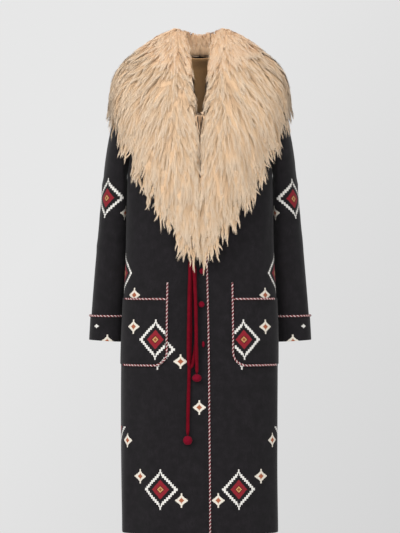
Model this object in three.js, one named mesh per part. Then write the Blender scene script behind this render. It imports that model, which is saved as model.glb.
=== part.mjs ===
// A long felt coat with a deep fur shawl collar, standing open and hollow as it hangs on a wearer.
// Millimetres, +Z up. The wearer faces -Y, so the wearer's right is -X. The origin is the middle of
// the neck opening, level with the shoulders that carry the coat.
//
// Each cloth panel is a wall: a grid of outer points worked out from the tables below, and the same
// grid moved inwards by the cloth's thickness. Pieces meet edge to edge with a small gap at the seams.
import * as THREE from "three";

// ---- Driving dimensions -----------------------------------------------------------------------
const CLOTH = 2.2; // coat felt
const LINING = 1.0;
const SEAM = 0.4; // gap where two pieces are sewn together
const LAID = 0.3; // gap under a piece that lies on another
const HEM = -1176; // height of the hem
const UNDERARM = -300;
const WIDEST_Y = -15; // depth at which the body is widest: the side seams
const FRONT_POWER = 2.5; // roundness of the body's section, 2 is an ellipse
const BACK_POWER = 2.2;
const NECK = { x: 78, y: 12, z: -8 }; // where the shoulder seam meets the neckline
const SHOULDER = { x: 174, y: 5, z: -76 }; // where it meets the sleeve
const NECK_DIP = 4; // the back neckline falls this far below the shoulder seams
const NECK_BACK = 48; // and lies this far behind them
const ARMHOLE = { inwards: 20, forwards: 48, backwards: 62 };
const BACK_ROUND = 0.8; // below 1 the shoulder blades stand out more
const UNDERLAP = 2.9; // how far the lower front is set back beneath the upper one
const HEM_RIPPLE_TOP = -560; // the folds of the skirt die out at this height

// Body sections from the hem up. half: half width; front, back: depth from the side seams;
// edge: how far the upper front's edge passes the centre line.
const BODY = [
  { z: HEM, half: 191, front: 118, back: 150, edge: 22.5 },
  { z: -950, half: 191, front: 116, back: 147, edge: 21 },
  { z: -723, half: 191, front: 113, back: 143, edge: 19 },
  { z: -637, half: 188.5, front: 110, back: 140, edge: 17.5 },
  { z: -514, half: 181.5, front: 104, back: 132, edge: 14.5 },
  { z: -400, half: 179.5, front: 106, back: 134, edge: 13 },
  { z: UNDERARM, half: 178, front: 110, back: 140, edge: 13 },
];

// Soft folds of the skirt. at: place across the panel, 0 middle to 1 side seam; reach: half width
// in the same measure; depth: how far the cloth stands out at the hem.
const FRONT_FOLDS = [
  { at: 0.42, reach: 0.18, depth: 4 },
  { at: 0.62, reach: 0.18, depth: -4 },
  { at: 0.82, reach: 0.17, depth: 4 },
];
const BACK_FOLDS = [
  { at: -0.72, reach: 0.22, depth: 5 },
  { at: -0.4, reach: 0.24, depth: -5 },
  { at: -0.08, reach: 0.22, depth: 6 },
  { at: 0.24, reach: 0.22, depth: -4 },
  { at: 0.62, reach: 0.26, depth: 6 },
];

// inner: place of the pocket's inner edge across the front; cornerAcross: its rounded corner, in the
// same measure; pipedTo: height to which its side piping goes on above it.
const POCKET = { top: -606.5, bottom: -767.5, inner: 0.322, corner: 30, cloth: 1.8 };
Object.assign(POCKET, { cornerAcross: 0.1, pipedTo: -569 });
const CUFF_TOP_ROW = 1; // the sleeve's section at which the turned-back cuff ends
const CUFF_CLOTH = 2.0;

// Sleeve sections from the cuff up. out, in: the ring's outer and inner point, with x measured from
// the centre line; midY, deep: middle and half depth front to back.
const SLEEVE = [
  { outX: 272, outZ: -710, inX: 187.5, inZ: -715, midY: 42, deep: 50 },
  { outX: 269, outZ: -653, inX: 186, inZ: -654, midY: 43, deep: 51 },
  { outX: 264, outZ: -588, inX: 182, inZ: -600, midY: 43, deep: 53 },
  { outX: 258, outZ: -515, inX: 178.5, inZ: -545, midY: 42, deep: 56 },
  { outX: 251, outZ: -440, inX: 176, inZ: -495, midY: 40, deep: 60 },
  { outX: 244, outZ: -365, inX: 176, inZ: -447, midY: 36, deep: 64 },
  { outX: 236.5, outZ: -290, inX: 177, inZ: -402, midY: 29, deep: 67 },
  { outX: 227, outZ: -224, inX: 178.5, inZ: -364, midY: 20, deep: 70 },
  { outX: 213, outZ: -166, inX: 180, inZ: -335, midY: 11, deep: 71 },
  { outX: 199, outZ: -120, inX: 181, inZ: -315, midY: 4, deep: 69 },
  { outX: 186, outZ: -90, inX: 180, inZ: -306, midY: 0, deep: 64 },
];
const SLEEVE_POWER = 2.2;

// Fur collar sections, from the middle of the back (at 0) over the shoulder (SHOULDER_AT) to the foot
// of the V (at 1). crest: the roll; swell: the fullest point; tip: the fur's end. x is measured from
// the centre line.
const COLLAR = [
  { at: 0.0, crest: [0, 74, 45], swell: [0, 160, -95], tip: [0, 158, -272] },
  { at: 0.14, crest: [34, 64, 54], swell: [80, 152, -85], tip: [76, 156, -268] },
  { at: 0.28, crest: [52, 34, 56], swell: [156, 112, -68], tip: [156, 132, -250] },
  { at: 0.4, crest: [52, 2, 54], swell: [188, 46, -40], tip: [216, 80, -205] },
  { at: 0.5, crest: [44, -28, 48], swell: [196, -32, -46], tip: [226, -8, -172] },
  { at: 0.6, crest: [35, -60, 22], swell: [178, -100, -108], tip: [208, -84, -232] },
  { at: 0.7, crest: [24, -96, -30], swell: [122, -144, -190], tip: [165, -126, -318] },
  { at: 0.8, crest: [14, -126, -95], swell: [80, -164, -265], tip: [121, -142, -402] },
  { at: 0.9, crest: [5, -148, -170], swell: [38, -172, -340], tip: [64, -153, -478] },
  { at: 1.0, crest: [0, -152, -240], swell: [0, -168, -400], tip: [0, -146, -549] },
];
const SHOULDER_AT = 0.4; // the collar crosses the shoulder seam here
const FOOT_LEVEL = 0.1; // and ends at this level of the front edge
// Where each of the named lines lies on the way across the collar, from the seam at 0.
const COLLAR_ACROSS = { crest: 0.18, swell: 0.6, tip: 1 };
const COLLAR_ROWS = [0, 0.07, 0.14, 0.22, 0.34, 0.46, 0.56, 0.66, 0.76, 0.85, 0.93, 1];
const COLLAR_DEPTH = [4, 14, 24, 40, 60, 60, 60, 50, 35, 22, 12, 4]; // the most that each row is deep
// locks: along one half; rise, notch: how far a lock stands out and its neighbour falls short;
// clear, sag: gap over the coat at the edges and more of it between them; middle: gap at the centre
// line; stitch: the seam lies this share inside the coat's edge; stand: and this far above it.
const FUR = { locks: 14, rise: 4, notch: 0.035, clear: 1.8, sag: 9.5, middle: 0.3 };
Object.assign(FUR, { stitch: 0.04, stand: 4, thinnest: 0.8 });

const PIPING = 1.6; // radius of the twisted cord sewn along the edges
const TWIST_SIDES = 6;
const FRONT_PIPING = { top: -485, steps: 24 };
const PIPING_OUTER_END = 0.8; // the pocket's pipings end here, short of the side seam
// How far the middle of the pocket's piping stands off the front: along its side and its foot; and in
// the measure across the front, how far the side piping runs in from the pocket's edge, and where
// the top piping starts from it.
const ON_POCKET = { side: 3, foot: POCKET.cloth + 2 * LAID + PIPING, beside: 0.012, topStart: 0.003 };
const TIE = 4.3; // radius of the red ties
const LONG_BALL = { x: -29.6, z: -947.3, wide: 11.3, high: 11.3 };
const SHORT_BALL = { x: -7.5, z: -797.7, wide: 11.7, high: 9.6 };
const BUTTONS = [
  { name: "button_top", x: 5.5, z: -541, wide: 7, high: 7.5, proud: 7.5 },
  { name: "button_middle", x: 3.5, z: -621, wide: 7.5, high: 7.5, proud: 7.5 },
  { name: "button_low", x: 8, z: -717, wide: 3.4, high: 7.5, proud: 3 },
];

// Grid lines. Heights below the underarm, the steps above it, and the places across a front and
// across the back. The pocket's edges are grid lines of the front.
const SKIRT_HEIGHTS = [HEM, -1090, -1000, -915, -840];
for (const share of [0, 1 / 3, 1]) SKIRT_HEIGHTS.push(POCKET.bottom + share * POCKET.corner);
SKIRT_HEIGHTS.push(-688, POCKET.top, -555, -495, -430, -365);
const UPPER_STEPS = 10;
const FRONT_ACROSS = [0, 0.1, 0.2, POCKET.inner, 0.41, 0.51, 0.61, 0.71, 0.81, 0.91, 1];
const BACK_STEPS = 20;

// ---- Small helpers ----------------------------------------------------------------------------
const mix = (a, b, t) => a + (b - a) * t;
const point = (x, y, z) => new THREE.Vector3(x, y, z);
const range = (n) => Array.from({ length: n }, (_, i) => i);
const ramp = (t) => THREE.MathUtils.smoothstep(t, 0, 1);

// A smooth curve through one value of a table's rows, at a place in its key column.
function smooth(rows, key, at, value) {
  const next = Math.max(1, rows.findIndex((row) => row[key] >= at));
  const [a, b] = [rows[next - 1], rows[next]];
  const [before, after] = [rows[next - 2] ?? a, rows[next + 1] ?? b];
  const span = b[key] - a[key];
  const t = (at - a[key]) / span;
  const leaving = ((value(b) - value(before)) / (b[key] - before[key])) * span;
  const arriving = ((value(after) - value(a)) / (after[key] - a[key])) * span;
  return (
    (2 * t ** 3 - 3 * t ** 2 + 1) * value(a) +
    (t ** 3 - 2 * t ** 2 + t) * leaving +
    (3 * t ** 2 - 2 * t ** 3) * value(b) +
    (t ** 3 - t ** 2) * arriving
  );
}

// How deep a rounded section is at a place across it, from 1 in the middle to 0 at its side.
const roundness = (across, power) => (1 - Math.min(1, Math.abs(across)) ** power) ** (1 / power);

// ---- Solids from grids ------------------------------------------------------------------------
// Outward directions of a grid of points. Its columns run anticlockwise seen from outside, its
// rows upwards.
function directions(grid, wraps) {
  return grid.map((row, j) =>
    row.map((_, i) => {
      const n = row.length;
      const left = row[wraps ? (i + n - 1) % n : Math.max(0, i - 1)];
      const right = row[wraps ? (i + 1) % n : Math.min(n - 1, i + 1)];
      const down = grid[Math.max(0, j - 1)][i];
      const up = grid[Math.min(grid.length - 1, j + 1)][i];
      return right.clone().sub(left).cross(up.clone().sub(down)).normalize();
    }),
  );
}

const moved = (grid, ways, by) =>
  grid.map((row, j) => row.map((p, i) => p.clone().addScaledVector(ways[j][i], by)));

// The closed solid between an outer and an inner grid.
function between(outer, inner, wraps = false) {
  const [rows, columns] = [outer.length, outer[0].length];
  const positions = [...outer.flat(), ...inner.flat()].flatMap((p) => p.toArray());
  const index = [];
  const out = (j, i) => j * columns + (i % columns);
  const into = (j, i) => rows * columns + out(j, i);
  const quad = (a, b, c, d) => index.push(a, b, c, a, c, d);
  const spans = wraps ? columns : columns - 1;
  for (let i = 0; i < spans; i++) {
    for (let j = 0; j < rows - 1; j++) {
      quad(out(j, i), out(j, i + 1), out(j + 1, i + 1), out(j + 1, i));
      quad(into(j, i), into(j + 1, i), into(j + 1, i + 1), into(j, i + 1));
    }
    quad(out(0, i + 1), out(0, i), into(0, i), into(0, i + 1));
    quad(out(rows - 1, i), out(rows - 1, i + 1), into(rows - 1, i + 1), into(rows - 1, i));
  }
  for (let j = 0; j < rows - 1 && !wraps; j++) {
    quad(out(j, 0), out(j + 1, 0), into(j + 1, 0), into(j, 0));
    quad(out(j + 1, spans), out(j, spans), into(j, spans), into(j + 1, spans));
  }
  const geometry = new THREE.BufferGeometry();
  geometry.setAttribute("position", new THREE.Float32BufferAttribute(positions, 3));
  geometry.setIndex(index);
  return geometry;
}

// A layer that lies on a panel: the panel's own points, moved out.
function layer(grid, gap, thickness, wraps = false) {
  const ways = directions(grid, wraps);
  return between(moved(grid, ways, gap + thickness), moved(grid, ways, gap), wraps);
}

// The same solid on the other side of the body.
function mirrored(geometry) {
  const copy = geometry.clone().scale(-1, 1, 1);
  const index = geometry.index ? [...geometry.index.array] : range(geometry.attributes.position.count);
  for (let i = 0; i < index.length; i += 3) [index[i], index[i + 1]] = [index[i + 1], index[i]];
  copy.setIndex(index);
  return copy;
}

function circle(radius, sides) {
  return new THREE.Shape(range(sides).map((i) => {
    const turn = (i / sides) * 2 * Math.PI;
    return new THREE.Vector2(radius * Math.cos(turn), radius * Math.sin(turn));
  }));
}

function cord(path, radius, steps, sides = 8) {
  const extrudePath = new THREE.CatmullRomCurve3(path, false, "centripetal");
  return new THREE.ExtrudeGeometry(circle(radius, sides), { steps, extrudePath });
}

// ---- The coat's body --------------------------------------------------------------------------
// A level is -1 at the hem, 0 at the underarm and 1 at the shoulder seam.
const levelAt = (z) => (z - UNDERARM) / (UNDERARM - HEM);
const LEVELS = [...SKIRT_HEIGHTS.map(levelAt), ...range(UPPER_STEPS + 1).map((i) => i / UPPER_STEPS)];

function section(level) {
  const z = UNDERARM + Math.min(0, level) * (UNDERARM - HEM);
  const read = (column) => smooth(BODY, "z", z, (row) => row[column]);
  return { z, half: read("half"), front: read("front"), back: read("back"), edge: read("edge") };
}

function ripple(folds, across, z) {
  const strength = ramp((HEM_RIPPLE_TOP - z) / (HEM_RIPPLE_TOP - HEM));
  const swell = (fold) => fold.depth * ramp(1 - Math.abs(across - fold.at) / fold.reach);
  return strength * folds.reduce((sum, fold) => sum + swell(fold), 0);
}

// Height and depth of the line where a panel's top is sewn: back neckline, then shoulder seam.
function topSeam(x) {
  const along = (Math.abs(x) - NECK.x) / (SHOULDER.x - NECK.x);
  if (along >= 0) return { y: mix(NECK.y, SHOULDER.y, along), z: mix(NECK.z, SHOULDER.z, along) };
  const part = (x / NECK.x) ** 2;
  return { y: NECK.y + NECK_BACK * Math.sqrt(1 - part), z: NECK.z - NECK_DIP * (1 - part) };
}

// Lifts a point at the underarm to its place between underarm and top seam.
function lifted(low, topX, level, round, armhole, side) {
  const top = topSeam(topX);
  top.y += (Math.sign(armhole) * SEAM) / 2;
  const up = Math.sin((level * Math.PI) / 2);
  const lean = Math.cos((level * Math.PI) / 2) ** round;
  const scoop = Math.sin(level * Math.PI) * Math.abs(side) ** 3;
  return point(
    mix(low.x, topX, up) - Math.sign(topX) * ARMHOLE.inwards * scoop,
    mix(top.y, low.y, lean) + armhole * scoop,
    mix(low.z, top.z, up),
  );
}

// The right front. across: 0 at its front edge, 1 at the side seam.
function frontPoint(across, level) {
  const { z, half, front, edge } = section(level);
  const x = mix(edge, -half, Math.sin((across * Math.PI) / 2));
  const deep = front * roundness(x / half, FRONT_POWER);
  const out = ripple(FRONT_FOLDS, across, z);
  const low = point(x * (1 + out / half), WIDEST_Y - deep - (out * deep) / front - SEAM / 2, z);
  if (level <= 0) return low;
  return lifted(low, -mix(NECK.x, SHOULDER.x, across), level, 1, -ARMHOLE.forwards, across);
}

// The left front lies beneath the right one where they overlap.
function leftFrontPoint(across, level) {
  const p = frontPoint(across, level);
  const open = THREE.MathUtils.smoothstep(-p.x, 30, 75);
  return point(-p.x, p.y + UNDERLAP * (1 - open), p.z);
}

// The back. across: 1 at the left side seam, -1 at the right one.
function backPoint(across, level) {
  const { z, half, back } = section(level);
  const x = half * Math.sin((across * Math.PI) / 2);
  const deep = back * roundness(x / half, BACK_POWER);
  const out = ripple(BACK_FOLDS, across, z);
  const low = point(x * (1 + out / half), WIDEST_Y + deep + (out * deep) / back + SEAM / 2, z);
  if (level <= 0) return low;
  return lifted(low, SHOULDER.x * across, level, BACK_ROUND, ARMHOLE.backwards, across);
}

const fromSide = [...FRONT_ACROSS].reverse();
const rightFrontGrid = LEVELS.map((level) => fromSide.map((across) => frontPoint(across, level)));
const leftFrontGrid = LEVELS.map((level) => FRONT_ACROSS.map((across) => leftFrontPoint(across, level)));
const BACK_ACROSS = range(BACK_STEPS + 1).map((i) => 1 - (2 * i) / BACK_STEPS);
const backGrid = LEVELS.map((level) => BACK_ACROSS.map((across) => backPoint(across, level)));

// A panel's wall. At the side and shoulder seams it is cut square, so that its neighbour fits.
function panel(grid, sideColumns) {
  const ways = directions(grid, false);
  const square = (way) => way.setY(0).normalize();
  ways.at(-1).forEach(square);
  ways.forEach((row, j) => LEVELS[j] <= 0 && sideColumns.forEach((i) => square(row[i])));
  return between(grid, moved(grid, ways, -CLOTH));
}

// The lining shows only inside the neck: a piece of the back's grid, inside it.
const LINING_IN = 6; // columns left out at each side
function liningPanel() {
  const piece = (grid) => grid.slice(-(UPPER_STEPS + 2), -1).map((row) => row.slice(LINING_IN, -LINING_IN));
  const ways = directions(backGrid, false);
  const outer = moved(backGrid, ways, -CLOTH - LAID);
  return between(piece(outer), piece(moved(outer, ways, -LINING)));
}

// ---- Sleeves and cuffs ------------------------------------------------------------------------
// One point of the armhole. turn: 0 at the shoulder, half a turn at the underarm, front first.
function armholePoint(turn) {
  const share = turn / Math.PI;
  const p = share <= 1 ? frontPoint(1, 1 - share) : backPoint(-1, share - 1);
  return p.add(point(-SEAM, 0, 0));
}

function sleeveRing(row, turns) {
  const middle = point(-(row.outX + row.inX) / 2, row.midY, (row.outZ + row.inZ) / 2);
  const outwards = point(-row.outX, row.midY, row.outZ).sub(middle);
  return turns.map((turn) => {
    const along = Math.sign(Math.cos(turn)) * Math.abs(Math.cos(turn)) ** (2 / SLEEVE_POWER);
    const deep = Math.sign(Math.sin(turn)) * Math.abs(Math.sin(turn)) ** (2 / SLEEVE_POWER);
    return middle.clone().addScaledVector(outwards, along).add(point(0, -deep * row.deep, 0));
  });
}

const TURNS = range(2 * UPPER_STEPS).map((i) => (i / UPPER_STEPS) * Math.PI);
const sleeveGrid = [...SLEEVE.map((row) => sleeveRing(row, TURNS)), TURNS.map(armholePoint)];

function sleeve() {
  const ways = directions(sleeveGrid, true);
  const armhole = sleeveGrid.at(-1);
  const centre = armhole.reduce((sum, p) => sum.add(p), point(0, 0, 0)).divideScalar(armhole.length);
  // The end that is sewn in is cut flat against the body.
  ways[ways.length - 1] = armhole.map((p) => point(0, p.y - centre.y, p.z - centre.z).normalize());
  return between(sleeveGrid, moved(sleeveGrid, ways, -CLOTH), true);
}

const cuffGrid = sleeveGrid.slice(0, CUFF_TOP_ROW + 1);

// ---- Pockets ----------------------------------------------------------------------------------
const POCKET_CORNER_MOST = 0.95; // of a grid cell, so that no cell is folded up
// The front's own grid points; those of the lower inner corner are drawn in to round it.
function pocketGrid() {
  const rows = rightFrontGrid.filter((row) => row[0].z > POCKET.bottom - 1 && row[0].z < POCKET.top + 1);
  const last = FRONT_ACROSS.length - 1 - FRONT_ACROSS.indexOf(POCKET.inner);
  return rows.map((row) => {
    const [before, edge] = row.slice(last - 1, last + 1);
    const below = Math.max(0, (POCKET.bottom + POCKET.corner - row[0].z) / POCKET.corner);
    const cut = POCKET.corner * (1 - Math.sqrt(1 - Math.min(1, below) ** 2));
    const share = Math.min(POCKET_CORNER_MOST, cut / edge.distanceTo(before));
    return [...row.slice(0, last), edge.clone().lerp(before, share)];
  });
}

// ---- Twisted piping ---------------------------------------------------------------------------
// A point on the right front, standing off it.
function overFront(across, z, off) {
  const step = 0.01;
  const level = levelAt(z);
  const p = frontPoint(across, level);
  const sideways = frontPoint(across - step, level).sub(frontPoint(across + step, level));
  const upwards = frontPoint(across, level + step).sub(frontPoint(across, level - step));
  return p.addScaledVector(sideways.cross(upwards).normalize(), off);
}

// Along the upper front's edge, from the hem to a place under the fur.
function frontPiping() {
  const path = range(FRONT_PIPING.steps + 1).map((i) => {
    const z = mix(HEM + 1, FRONT_PIPING.top, i / FRONT_PIPING.steps);
    return frontPoint(0, levelAt(z)).add(point(PIPING + LAID, CLOTH / 2, 0));
  });
  return cord(path, PIPING, FRONT_PIPING.steps, TWIST_SIDES);
}

// Down the pocket's inner edge, round its corner and along its foot to the side seam.
function pocketSidePiping() {
  const side = POCKET.inner - ON_POCKET.beside;
  const down = range(7).map((i) => {
    const z = mix(POCKET.pipedTo, POCKET.bottom + POCKET.corner, i / 6);
    return overFront(side, z, z > POCKET.top ? LAID + PIPING : ON_POCKET.side);
  });
  const corner = [0.25, 0.5, 0.75].map((share) => {
    const turn = (share * Math.PI) / 2;
    const z = POCKET.bottom + POCKET.corner * (1 - Math.sin(turn));
    return overFront(side + POCKET.cornerAcross * (1 - Math.cos(turn)), z, ON_POCKET.side + LAID);
  });
  const foot = range(8).map((i) => {
    const across = mix(side + POCKET.cornerAcross, PIPING_OUTER_END, i / 7);
    return overFront(across, POCKET.bottom - 1, ON_POCKET.foot);
  });
  return cord([...down, ...corner, ...foot], PIPING, 32, TWIST_SIDES);
}

function pocketTopPiping() {
  const path = range(9).map((i) => {
    const across = mix(POCKET.inner + ON_POCKET.topStart, PIPING_OUTER_END, i / 8);
    return overFront(across, POCKET.top - 2, ON_POCKET.foot + LAID);
  });
  return cord(path, PIPING, 14, TWIST_SIDES);
}

// Round the sleeve, on the cuff's upper edge.
function cuffPiping() {
  const edge = moved([cuffGrid.at(-1)], [directions(cuffGrid, true).at(-1)], PIPING + 3 * LAID)[0];
  const ring = edge.map((p) => p.setZ(p.z + PIPING + 2 * LAID));
  const extrudePath = new THREE.CatmullRomCurve3(ring, true, "centripetal");
  return new THREE.ExtrudeGeometry(circle(PIPING, TWIST_SIDES), { steps: 30, extrudePath });
}

// ---- Ties, balls and buttons ------------------------------------------------------------------
const frontY = (x, z) => {
  const { half, front } = section(levelAt(z));
  return WIDEST_Y - front * roundness(x / half, FRONT_POWER) - SEAM / 2;
};
const hanging = (rows) => rows.map(([x, z, off]) => point(x, frontY(x, z) - off, z));

// Routes of the ties: across, height, and how far the middle stands off the coat.
const LONG_ROUTE = [
  [-21.4, -530, 5.4], [-21.8, -570, 5.2], [-22.8, -628, 5.2], [-23.3, -697, 5.2],
  [-25.2, -760, 5.2], [-27.2, -824, 5.6], [-28.8, -882, 6.5], [-29.6, -935.5, 9.5],
];
const SHORT_ROUTE = [
  [-14.2, -545, 15.2], [-12.2, -580, 14.8], [-10, -638, 14.6], [-9.2, -697, 14.8],
  [-8.2, -746, 14.8], [-7.5, -787.5, 12.6],
];
const LOOP_ROUTE = [
  [-12.4, -545, 5.4], [-11.2, -600, 5.2], [-10, -658, 5.2], [-9.6, -701, 5.3],
  [-10.8, -724, 5.3], [-15.5, -752, 8.5], [-19, -767.5, 12.5], [-24, -772.5, 14.9],
  [-27.5, -761, 15], [-27.8, -736, 14.9], [-27.2, -678, 14.8], [-26.2, -620, 14.8],
  [-24.6, -560, 14.8], [-23.8, -530, 15],
];

function ball({ x, z, wide, high, proud = wide }, off) {
  const geometry = new THREE.SphereGeometry(1, 12, 8).scale(wide, proud, high);
  return geometry.translate(x, frontY(x, z) - proud - off, z);
}

// ---- Fur collar -------------------------------------------------------------------------------
// The line where the collar is sewn on, just inside the coat's edge.
function collarSeam(at) {
  const across = (-at / SHOULDER_AT) * (NECK.x / SHOULDER.x);
  if (at <= SHOULDER_AT) return backPoint(across, 1 - FUR.stitch);
  return frontPoint(FUR.stitch, mix(1 - FUR.stitch, FOOT_LEVEL, (at - SHOULDER_AT) / (1 - SHOULDER_AT)));
}

// Where the line inside the body runs from and to: below the seam, and level with the tips.
const BELOW_SEAM = point(0, 0, -12);
const INNER_TIPS = point(0.8, 0.55, 1);

// Keeps a point of the right half clear of the left half.
const beside = (p) => p.setX(Math.min(-FUR.middle, p.x));

// The fur's outer face. at: along the collar; across: 0 at the seam, 1 at the tips.
function furPoint(at, across) {
  const lines = Object.entries(COLLAR_ACROSS).map(([name, place]) => ({
    place,
    position: range(3).map((axis) => smooth(COLLAR, "at", at, (row) => row[name][axis])),
  }));
  const seam = collarSeam(at);
  lines.unshift({ place: 0, position: [-seam.x, seam.y, seam.z + FUR.stand] });
  const [x, y, z] = range(3).map((axis) => smooth(lines, "place", across, (line) => line.position[axis]));
  return beside(point(-x, y, z));
}

// How thick the fur is at a point of its face, looking a given way, before it lies on the coat.
function furDepth(coat, from, way, row) {
  const hit = new THREE.Raycaster(from, way).intersectObjects(coat, false)[0];
  const clear = FUR.clear + FUR.sag * Math.sin(Math.PI * COLLAR_ROWS[row]);
  const free = hit ? hit.distance - clear : COLLAR_DEPTH[row];
  return Math.max(FUR.thinnest, Math.min(COLLAR_DEPTH[row], free));
}

// Half of the collar. Every second column is the ridge of a lock. Its underside lies on the coat.
function collar(coat) {
  const columns = range(2 * FUR.locks + 1).map((i) => 1 - i / (2 * FUR.locks));
  const reach = (across, i) => across * (i % 2 ? 1 - FUR.notch * across : 1);
  const swollen = (across, i) => (i % 2 ? 0 : FUR.rise * Math.sin(Math.PI * Math.min(0.8, across)));
  const face = COLLAR_ROWS.map((across) => columns.map((at, i) => furPoint(at, reach(across, i))));
  const ways = directions(face, false);
  const top = face.map((row, j) =>
    row.map((p, i) => beside(p.clone().addScaledVector(ways[j][i], swollen(COLLAR_ROWS[j], i)))));
  const under = top.map((row, j) =>
    row.map((p, i) => {
      // A place inside the body, on the way from the seam to the tips.
      const tips = face.at(-1)[i].clone().multiply(INNER_TIPS);
      const inside = collarSeam(columns[i]).add(BELOW_SEAM).lerp(tips, COLLAR_ROWS[j]);
      const way = inside.sub(p).normalize();
      return beside(p.clone().addScaledVector(way, furDepth(coat, p, way, j)));
    }));
  return between(top, under);
}

// ---- Finishes and assembly --------------------------------------------------------------------
const finish = (color, roughness) =>
  new THREE.MeshStandardMaterial({ color, roughness, metalness: 0, side: THREE.DoubleSide });
const felt = finish(0x262427, 0.95);
const lining = finish(0x5c452c, 0.55);
const fur = finish(0xdcbf9d, 0.9);
const twist = finish(0xb8586a, 0.8);
const crimson = finish(0x780f24, 0.85);

const coatGroup = new THREE.Group();
function add(name, geometry, material) {
  const mesh = new THREE.Mesh(geometry, material);
  mesh.name = name;
  coatGroup.add(mesh);
  return mesh;
}
function addPair(name, geometry, material) {
  return [add(name + "_right", geometry, material), add(name + "_left", mirrored(geometry), material)];
}

const cloth = [
  add("back", panel(backGrid, [0, BACK_STEPS]), felt),
  add("front_right", panel(rightFrontGrid, [0]), felt),
  add("front_left", panel(leftFrontGrid, [FRONT_ACROSS.length - 1]), felt),
  ...addPair("sleeve", sleeve(), felt),
];
add("back_lining", liningPanel(), lining);
addPair("cuff", layer(cuffGrid, LAID, CUFF_CLOTH, true), felt);
addPair("pocket", layer(pocketGrid(), LAID, POCKET.cloth), felt);
addPair("collar", collar(cloth), fur);
add("piping_front", frontPiping(), twist);
addPair("piping_pocket_side", pocketSidePiping(), twist);
addPair("piping_pocket_top", pocketTopPiping(), twist);
addPair("piping_cuff", cuffPiping(), twist);
for (const button of BUTTONS) add(button.name, ball(button, LAID), crimson);
add("tie_long", cord(hanging(LONG_ROUTE), TIE, 24), crimson);
add("tie_short", cord(hanging(SHORT_ROUTE), TIE, 16), crimson);
add("tie_loop", cord(hanging(LOOP_ROUTE), TIE, 40), crimson);
add("ball_long", ball(LONG_BALL, 0.6), crimson);
add("ball_short", ball(SHORT_BALL, 0.6), crimson);

export default coatGroup;
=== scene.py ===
"""Dresses the long felt coat with its fur shawl collar: soft cloth, woven motifs, fur, ties and piping."""
import math
from functools import partial

import bmesh
import bpy
import numpy as np
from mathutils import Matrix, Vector, noise
from mathutils.bvhtree import BVHTree


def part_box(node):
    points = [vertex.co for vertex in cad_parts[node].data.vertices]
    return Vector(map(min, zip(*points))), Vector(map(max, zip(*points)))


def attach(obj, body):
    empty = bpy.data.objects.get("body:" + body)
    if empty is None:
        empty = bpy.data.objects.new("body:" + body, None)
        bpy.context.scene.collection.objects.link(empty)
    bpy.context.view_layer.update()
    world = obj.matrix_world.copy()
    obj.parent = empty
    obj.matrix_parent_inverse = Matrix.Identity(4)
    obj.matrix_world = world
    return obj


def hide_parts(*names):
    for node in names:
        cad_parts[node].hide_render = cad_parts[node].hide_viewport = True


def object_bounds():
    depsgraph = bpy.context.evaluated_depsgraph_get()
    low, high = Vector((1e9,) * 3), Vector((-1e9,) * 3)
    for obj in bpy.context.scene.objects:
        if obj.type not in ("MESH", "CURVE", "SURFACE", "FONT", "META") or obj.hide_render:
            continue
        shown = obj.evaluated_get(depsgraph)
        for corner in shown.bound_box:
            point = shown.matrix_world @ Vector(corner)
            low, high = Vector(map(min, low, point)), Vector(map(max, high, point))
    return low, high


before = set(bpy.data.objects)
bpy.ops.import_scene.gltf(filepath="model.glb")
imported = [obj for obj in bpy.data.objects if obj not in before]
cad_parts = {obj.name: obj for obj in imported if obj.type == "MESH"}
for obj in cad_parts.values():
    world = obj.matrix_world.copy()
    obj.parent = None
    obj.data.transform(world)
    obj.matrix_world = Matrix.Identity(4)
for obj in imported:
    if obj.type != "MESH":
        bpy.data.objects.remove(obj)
CAD_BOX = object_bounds()

bl_info = {
    "name": "Fur-Collared Felt Coat",
    "version": (1, 0, 0),
    "blender": (4, 5, 0),
    "location": "View3D > Sidebar > Coat",
    "description": "Makes the cloth, fur, ties and piping of a long felt coat on its solid frame",
    "category": "Object",
}

MM = 0.001
SIDES = ("right", "left")
BODY_NODES = ("back", "front_right", "front_left")
TWIST_NODES = ("piping_front", "piping_pocket_side_right", "piping_pocket_side_left",
               "piping_pocket_top_right", "piping_pocket_top_left")
BUTTON_NODES = ("button_top", "button_middle", "button_low")
SENSOR = 36.0
PICTURE = (400, 533)  # pixels across and down


# ---- Settings ---------------------------------------------------------------------------------
def length(name, description, default):
    return bpy.props.FloatProperty(
        name=name, description=description, default=default, unit="LENGTH", precision=4)


def share(name, description, default):
    return bpy.props.FloatProperty(
        name=name, description=description, default=default, subtype="FACTOR", min=0.0, max=2.0)


def count(name, description, default):
    return bpy.props.IntProperty(name=name, description=description, default=default, min=1)


def paint(name, description, default):
    return bpy.props.FloatVectorProperty(
        name=name, description=description, default=(*default, 1.0), size=4, subtype="COLOR")


class CoatClothSettings(bpy.types.PropertyGroup):
    felt: paint("Felt", "Colour of the coat's wool felt", (0.0046, 0.0039, 0.0047))
    fleck: paint("Fleck", "Colour of the paler wool in the felt", (0.0218, 0.0174, 0.0218))
    # The lining's colour is brighter than its own, as painted light inside the neck, where little light
    # reaches.
    lining: paint("Lining", "Colour of the lining inside the neck", (0.84, 0.49, 0.22))
    white: paint("White wool", "Outline of the woven motifs", (0.66, 0.64, 0.60))
    red: paint("Red wool", "Middle of the large motifs", (0.25, 0.012, 0.022))
    gold: paint("Gold wool", "Ring inside the large motifs", (0.50, 0.25, 0.10))
    brown: paint("Brown wool", "Heart of the motifs", (0.20, 0.062, 0.024))
    orange: paint("Orange wool", "Heart of the small stars", (0.31, 0.092, 0.042))
    stitch: length("Stitch", "Width of one stitch of the motifs", 1.2 * MM)
    undulation: length("Undulation", "How far the cloth strays from a smooth surface", 1.3 * MM)
    crease_share: share("Creases", "Depth of the creases, against their listed depths", 1.0)


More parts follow.
